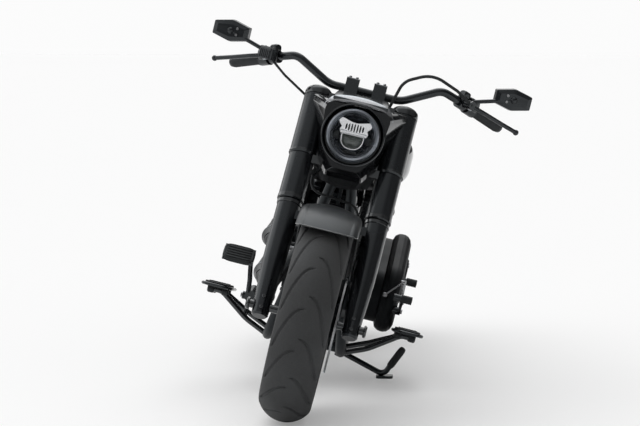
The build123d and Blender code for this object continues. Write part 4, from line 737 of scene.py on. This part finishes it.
hoops = [turned(strap(37.6, 40, 5), (MUFFLER_X, y, z), (0, 1, 0), 40)
         for y, z in ((1214, 396), (1630, 396), (1244, 258), (1730, 258))]
for along in (60 / 320, 265 / 320):
    place = (-160 - 8 * along, 640 + 320 * along, 228 - 2 * along)
    hoops.append(turned(strap(21.5, 24, 6), place, (-0.025, 1, -0.006), 32))
piece("pipe_clamps", hoops, *STEEL)
baffle = [(32.8, 0), (24, 5), (17, 7), (14, 7), (14, -20), (12, -20), (12, 9), (17, 9.5), (25, 7.5), (32.8, 2.5),
          (32.8, 0)]
baffles = [turned(baffle, (MUFFLER_X, y, z), (0, 1, 0), 40) for y, z in ((1640, 396), (1740, 258))]
piece("muffler_baffles", baffles, ceramic_black, "satin_black")
dress(cast_black, "oil_cooler")
dress(gloss_black, "oil_tank")
inner, rise = pitched(10)
slats = [stacked(squircle(1.2, 14, 8, 8), [(0, 0), (1, 0), (1, 3), (0, 3)],
                 np.array([x, 470, 330]) + rise * (-70 + 20 * k) - inner * 14.6, -inner, rise)
         for k in range(8) for x in np.linspace(-64, 64, 33)]
piece("cooler_slats", slats, cast_black, "satin_black")
cap = [(0, 0), (21, 0), (21, 4), (24, 5), (24, 14), (22, 16), (8, 16), (7, 18), (0, 18)]
piece("oil_cap", [turned(cap, (-108, 1095, 600), (-1, 0, 0), 12)], *RUBBER, crease=20)

# -------- fuel tank and console
# A welded teardrop tank in deep black lacquer with a fine metal flake. Its console carries a turned
# filler cap and a round speedometer: a dark dial, white ticks, a red needle and a domed glass.
tank_paint = finish("tank_paint", (0.003, 0.0032, 0.0045), (0.012, 0.0125, 0.017), 2600, (0.12, 0.2), coat=1.0)
dress(tank_paint, "fuel_tank")
dress(satin_paint, "tank_console")
DIAL, FILLER, TO_TOP = np.array([0, 742, 912.0]), (0, 640, 922.2), (0, 0, 1)
bezel = [(24, -2), (24.5, 4), (27, 6), (31, 5), (34, 1), (34, -2), (24, -2)]
cap = [(0, 0), (10, 0), (12, 2), (20, 2), (22, 0.5), (22, -1), (0, -1)]
piece("gauge_bezel", [turned(bezel, DIAL, TO_TOP, 56), turned(cap, FILLER, TO_TOP)], *GLOSS)
disc = [(0, 0), (24.6, 0), (24.6, -1), (0, -1)]
piece("gauge_dial", [turned(disc, DIAL + (0, 0, 1.4), TO_TOP, 40)], rubber, "satin_black")
dial_white = finish("dial_white", (0.6, 0.6, 0.6), (0.7, 0.7, 0.7), 300, (0.4, 0.5))
ticks = []
for k in range(19):
    t = math.radians(225 - 15 * k)
    out = np.array([-math.cos(t), -math.sin(t), 0])
    long = 2.6 if k % 3 else 4.4
    ticks.append(stacked(squircle(0.8, long, 8, 8), [(0, 0), (1, 0), (1, 0.3), (0, 0.3)],
                         DIAL + (0, 0, 1.5) + out * (21 - long / 2), TO_TOP, out))
piece("gauge_ticks", ticks, dial_white, "plate_white")
red_lens = finish("red_lens", (0.2, 0.004, 0.004), (0.3, 0.008, 0.007), 500, (0.06, 0.14), coat=1.0)
needle = stacked(squircle(1.4, 19, 3, 12), [(0, 0), (1, 0), (1, 0.6), (0, 0.9)], DIAL + (5, 4, 2.0), TO_TOP,
                 (0.78, 0.62, 0))
hub = turned([(0, 0), (3, 0), (3, 1.2), (2, 2), (0, 2)], DIAL + (0, 0, 1.6), TO_TOP, 16)
piece("gauge_needle", [needle, hub], red_lens, "lamp_red")
dome = [(24.4, 3.4), (20, 5.0), (12, 6.2), (0, 6.8), (0, 6.3), (12, 5.7), (20, 4.5), (24.4, 2.9), (24.4, 3.4)]
piece("gauge_glass", [turned(dome, DIAL, TO_TOP)], lens_glass, "clear_glass")

# -------- seat
# A low bucket and a pillion pad in black grained leather over foam. The foam is blown up a little as
# cloth, kept flat underneath where it rests, and sewn across in channels with paired stitches.
CHANNELS = (1010, 1046, 1082, 1118, 1154, 1190, 1226)
CHANNEL_BOW, SIDE_SEAM, PILLION_SEAM, SEAM_WIDTH = 0.0007, 122, 1322, 4.5
CLOTH_STEPS, MOST_TRAVEL = 20, 0.009


def leather():
    """Black leather: pebbles from cell distances, with wear in a wide noise."""
    material = finish("seat_leather", (0.010, 0.0098, 0.0095), (0.020, 0.0195, 0.019), 240, (0.42, 0.6))
    tree = material.node_tree
    place = node(tree, "TexCoord").outputs["Object"]
    cells = node(tree, "TexVoronoi", {"Vector": place, "Scale": 420}).outputs["Distance"]
    bumped(material, cells, 0.0004, 0.7)
    return material


def upright(points):
    """Leaning metres back to upright millimetres: the inverse of bike()."""
    return (np.asarray(points) - CONTACT) @ MACHINE.T * 1000


def read(mesh):
    """A mesh's points as an array."""
    points = np.empty(len(mesh.vertices) * 3)
    mesh.vertices.foreach_get("co", points)
    return points.reshape(-1, 3)


def baked(made):
    """The object's mesh with its modifiers applied to it."""
    done = bpy.data.meshes.new_from_object(made.evaluated_get(bpy.context.evaluated_depsgraph_get()))
    made.modifiers.clear()
    made.data = done
    return done


def seams(at):
    """Depth pressed in at upright points: bells exp(-(distance / width)^2) on the bowed channels, on both
    side seams and on the pillion's seam."""
    x, y = np.abs(at[:, 0]), at[:, 1]
    inner = np.clip((SIDE_SEAM - x) / 16, 0, 1)
    ends = np.clip((1290 - y) / 30, 0, 1) * np.clip((y - 960) / 30, 0, 1)
    press = sum(4.0 * np.exp(-((y - line - CHANNEL_BOW * x**2) / SEAM_WIDTH) ** 2) * inner for line in CHANNELS)
    press += 3.0 * np.exp(-((x - SIDE_SEAM) / SEAM_WIDTH) ** 2) * ends
    return press + 5.0 * np.exp(-((y - PILLION_SEAM) / 6) ** 2)


def blown_seat():
    """Seat shell shrunk 5 mm, remeshed at 6 mm and inflated as cloth for 20 steps; a point keeps at most
    9 mm of its travel, weighted by how far up its normal looks; then the seams are pressed in."""
    mesh = frame["nodes"]["seat"].data.copy()
    merge(mesh, 1e-5)
    made = placed("seat_pad", mesh)
    shape = made.modifiers.new("shape", "REMESH")
    shape.mode, shape.voxel_size = "VOXEL", 0.006
    shrink = made.modifiers.new("shrink", "DISPLACE")
    shrink.strength, shrink.mid_level = -0.005, 0.0
    mesh = baked(made)
    rest = read(mesh)
    cloth = made.modifiers.new("cloth", "CLOTH")
    cloth.settings.use_pressure = True
    cloth.settings.uniform_pressure_force = 4
    cloth.settings.effector_weights.gravity = 0
    cloth.point_cache.frame_start, cloth.point_cache.frame_end = 1, CLOTH_STEPS
    for k in range(1, CLOTH_STEPS + 1):
        SCENE.frame_set(k)
    mesh = baked(made)
    SCENE.frame_set(1)
    moved = read(mesh) - rest
    travel = np.linalg.norm(moved, axis=1)[:, None]
    moved *= np.minimum(1, MOST_TRAVEL / np.maximum(travel, 1e-9))
    normal = np.array([v.normal[:] for v in mesh.vertices]) @ MACHINE.T
    look_up = np.clip(normal[:, 2:] * 1.5 + 0.6, 0, 1)
    at = upright(rest + moved * look_up)
    at -= normal * seams(at)[:, None] * look_up
    mesh.vertices.foreach_set("co", bike(at).ravel())
    mesh.update()
    soft = made.modifiers.new("soft", "SUBSURF")
    soft.levels = soft.render_levels = 1
    mesh = baked(made)
    mesh.polygons.foreach_set("use_smooth", np.ones(len(mesh.polygons), bool))
    mesh.materials.clear()
    mesh.materials.append(leather())
    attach(made, "chassis")
    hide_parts("seat")
    return made


pad = blown_seat()
feel = BVHTree.FromPolygons([v.co[:] for v in pad.data.vertices], [p.vertices[:] for p in pad.data.polygons])
thread = finish("seat_thread", (0.03, 0.03, 0.03), (0.055, 0.055, 0.055), 900, (0.6, 0.8))
STITCH_ALONG = np.array([[0.1], [0.35], [0.65], [0.9]])
STITCH_LIFT = np.array([[0, 0, h] for h in (0, 0.5, 0.5, 0)])
stitches = []
for y in [line + gap for line in CHANNELS for gap in (-7, 7)]:
    row = [Vector(bike((x, y + CHANNEL_BOW * x * x, 860))) for x in range(-108, 109, 6)]
    hits = [feel.ray_cast(point, -Vector(UP), 0.3)[0] for point in row]
    found = [upright(hit) + (0, 0, 0.3) for hit in hits if hit is not None]
    stitches += [swept(a + (b - a) * STITCH_ALONG + STITCH_LIFT, [0.5, 0.8, 0.8, 0.5], 6)
                 for a, b in zip(found[:-1], found[1:])]
piece("seat_stitches", stitches, thread, "seat_cover")

# -------- tail lights and plate
# Black lamp housings with domed red lenses, a tail lamp on the mudguard and a bullet signal at each
# side, a blank number plate in white, and the bolts of the mudguard's struts.
dress(gloss_black, "tail_lights")
dress(powder_coat, "plate_bracket")
out, along = pitched(48)
SIGNALS = [(s * 165, 1903, 520) for s in (1, -1)]
lenses = [stacked(squircle(88, 55, 5), [(0, -1), (1, -1), (1, 4), (0.95, 8), (0.8, 10.5), (0, 12)],
                  np.array([0, WHEELBASE, TYRE_RADIUS]) + out * 402, out, along)]
lens = [(0, -1), (25.5, -1), (25.5, 2), (23, 7), (15, 11), (0, 13)]
lenses += [turned(lens, place, (0, 1, 0), 40) for place in SIGNALS]
piece("red_lenses", lenses, red_lens, "lamp_red")
rim = [(24, -3), (28, -3), (28.6, -2), (28.6, 1), (27.5, 2.2), (25, 2.2), (24, -3)]
piece("signal_rims", [turned(rim, place, (0, 1, 0), 40) for place in SIGNALS], *GLOSS)
square, up_plate = pitched(-12)
plate_white = finish("plate_white", (0.62, 0.63, 0.64), (0.72, 0.73, 0.74), 1800, (0.3, 0.42), relief=0.00003)
plate_at = np.array([0, 2040, 452]) + square * 1.4
PLATE_FACE, PLATE_RIM = 4.2, 4.8
plate = [(0, 0), (1, 0), (1, 4.3), (0.995, PLATE_RIM), (0.965, PLATE_RIM), (0.955, PLATE_FACE), (0, PLATE_FACE)]
piece("plate_face", [stacked(squircle(172, 96, 12), plate, plate_at, square)], plate_white, "plate_white")
plate_bolts = [plate_at + (x, 0, 0) + up_plate * 38 + square * (PLATE_FACE - 0.1) for x in (-60, 60)]
strut_bolts = [(144.4, y, z) for y, z in ((1206, 561), (1690, 630), (1460, 597))]
piece("tail_bolts", hexes(plate_bolts, square, 9, 3.5) + side_heads(strut_bolts, 13, 5), *STEEL)

# -------- footboards
# Cast boards with a rolled rim, a moulded rubber mat ribbed along its length, and rubber bushings on
# the polished black arms that carry them.
dress(satin_paint, "footboards")
dress(gloss_black, "footboard_brackets")
BOARD_AXES, BOARD_AT = np.array([(1, 0, 0), *pitched(-8)]), (324, 675, 258)


def board(side, points):
    """Board millimetres (outward, back, up from its plate's top) to upright millimetres, tipped 8 degrees."""
    return (np.asarray(points, float) @ BOARD_AXES + BOARD_AT) * (side, 1, 1)


def layers(side, outlines):
    """A grid on the board from (outline, height) layers."""
    return board(side, np.stack([np.column_stack([line, np.full(len(line), h)]) for line, h in outlines]))


def round_box(wide, long, corner, steps=9):
    """Rounded rectangle outline: quarter circles of the corner radius at four corners."""
    t = np.linspace(0, np.pi / 2, steps)
    quarter = np.stack([np.cos(t), np.sin(t)], 1) * corner
    out = []
    for k, (sx, sy) in enumerate(((1, 1), (-1, 1), (-1, -1), (1, -1))):
        c, s = math.cos(k * math.pi / 2), math.sin(k * math.pi / 2)
        out.append(quarter @ np.array([[c, s], [-s, c]]) + (sx * (wide / 2 - corner), sy * (long / 2 - corner)))
    return np.vstack(out)


MAT_SHELL = ((0, 0), (0.999, 0), (1, 5.5), (0.97, 7.2), (0.93, 7.4), (0.92, 6.6), (0, 6.6))
MAT_RIB = ((0.01, 6), (1, 6), (1, 8.8), (0.6, 9.8), (0.01, 9.8))
mat = round_box(82, 294, 29)
edge = round_box(95, 309, 33.5)
edge = np.vstack([edge, edge[:2]])
bush = [(0, -11), (11, -11), (14, -8), (14, 8), (11, 11), (0, 11)]
mats, rims, bushes = [], [], []
for s in (1, -1):
    mats.append(layers(s, [(mat * k, h) for k, h in MAT_SHELL]))
    for x in range(-27, 28, 9):
        rib = round_box(5, 244 - abs(x), 2.4, 4)
        mats.append(layers(s, [(rib * (k, 1) + (x, 0), h) for k, h in MAT_RIB]))
    rims.append(swept(layers(s, [(edge, -4.0)])[0], 5.4, 10, (0.3, 0.2, 1)))
    bushes += [turned(bush, board(s, (x, y, -17)), (1, 0, 0), 28) for y in (-103, 25) for x in (-30, 18)]
piece("board_mats", mats, *RUBBER, crease=40)
piece("board_rims", rims, *SATIN)
piece("board_bushes", bushes, *RUBBER)

# -------- foot controls
# The brake pedal's pad and the shifter's pegs wear ribbed rubber, a clevis rod runs from the pedal to
# the master cylinder, and a jointed steel link climbs from the shifter to the gearbox lever.
dress(satin_paint, "brake_pedal", "shift_lever")
slope, lift = pitched(40)
PEDAL = np.array([-277, 548, 390.0])
sole = [(0, -7), (0.96, -7), (1, -4), (1, 5), (0.97, 7.4), (0.9, 8.4), (0.88, 7.2), (0, 7.2)]
pads = [stacked(squircle(106, 70, 4.5), sole, PEDAL, lift, slope)]
pads += [slab(squircle(84, 5, 5, 24), 6, 8.6, 9.8, 0.95, PEDAL + slope * k, lift, slope)
         for k in range(-22, 23, 11)]
sleeve = [(0, 0)] + [(12.6 + 1.1 * (k % 2), 1 + 3 * k) for k in range(12)] + [(12.6, 37), (0, 38)]
pads += [turned(sleeve, peg, (1, 0, 0), 32) for peg in ((274, 522, 382), (283, 866, 398))]
piece("pedal_rubbers", pads, *RUBBER, crease=45)
LINK = ((281, 560, 366), (268, 600, 424), (222, 640, 366))
rods = [swept(np.array([(-216, 640, 196), (-216, 690, 214), (-214, 705, 236)]), 4, 12)]
rods += [swept(np.linspace(a, b, 4), 3.2, 12, (1, 0, 0)) for a, b in zip(LINK[:-1], LINK[1:])]
pin = [(0, -7), (7, -7), (8, -5), (8, 5), (7, 7), (0, 7)]
piece("shift_link", rods + [turned(pin, p, (1, 0, 0), 20) for p in LINK], *STEEL)
caps = hexes((285, 664, 320), (1, 0, 0), 16, 6) + hexes((-240, 640, 250), (-1, 0, 0), 16, 6)
piece("pivot_caps", caps, *STEEL)

# -------- side stand
# A forged leg with a rubber sleeve along its kick tab, in satin black. Its return spring is a close coil
# of steel wire hooked between the leg and the frame.
dress(satin_paint, "side_stand")
STAND_FOOT = np.array([0.298, 0.8, -CONTACT[2]])
foot_at = MACHINE @ STAND_FOOT * 1000 + (-6, -4, 10)
tab_at = np.array([326, 756, 184.0])
tab = foot_at + (tab_at - foot_at) * np.linspace(0.34, 1.02, 12)[:, None]
sleeve = swept(tab, np.r_[11.5, 12.6, 12.8 * np.ones(8), 12.2, 10], 20, (1, 0, 0))
piece("stand_sleeve", [sleeve], *RUBBER, "side_stand")
COIL_TURNS, COIL_RADIUS, COIL_LENGTH = 12, 6.6, 68
turns = np.linspace(0, COIL_TURNS * 2 * np.pi, COIL_TURNS * 14)
coil = np.stack([125 + COIL_RADIUS * np.cos(turns), 742 + COIL_LENGTH * turns / turns[-1],
                 124.7 + COIL_RADIUS * np.sin(turns)], 1)
spring = piece("stand_coil", [swept(coil, 1.5, 8, (0, 1, 0.01))], *STEEL)
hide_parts("stand_spring")
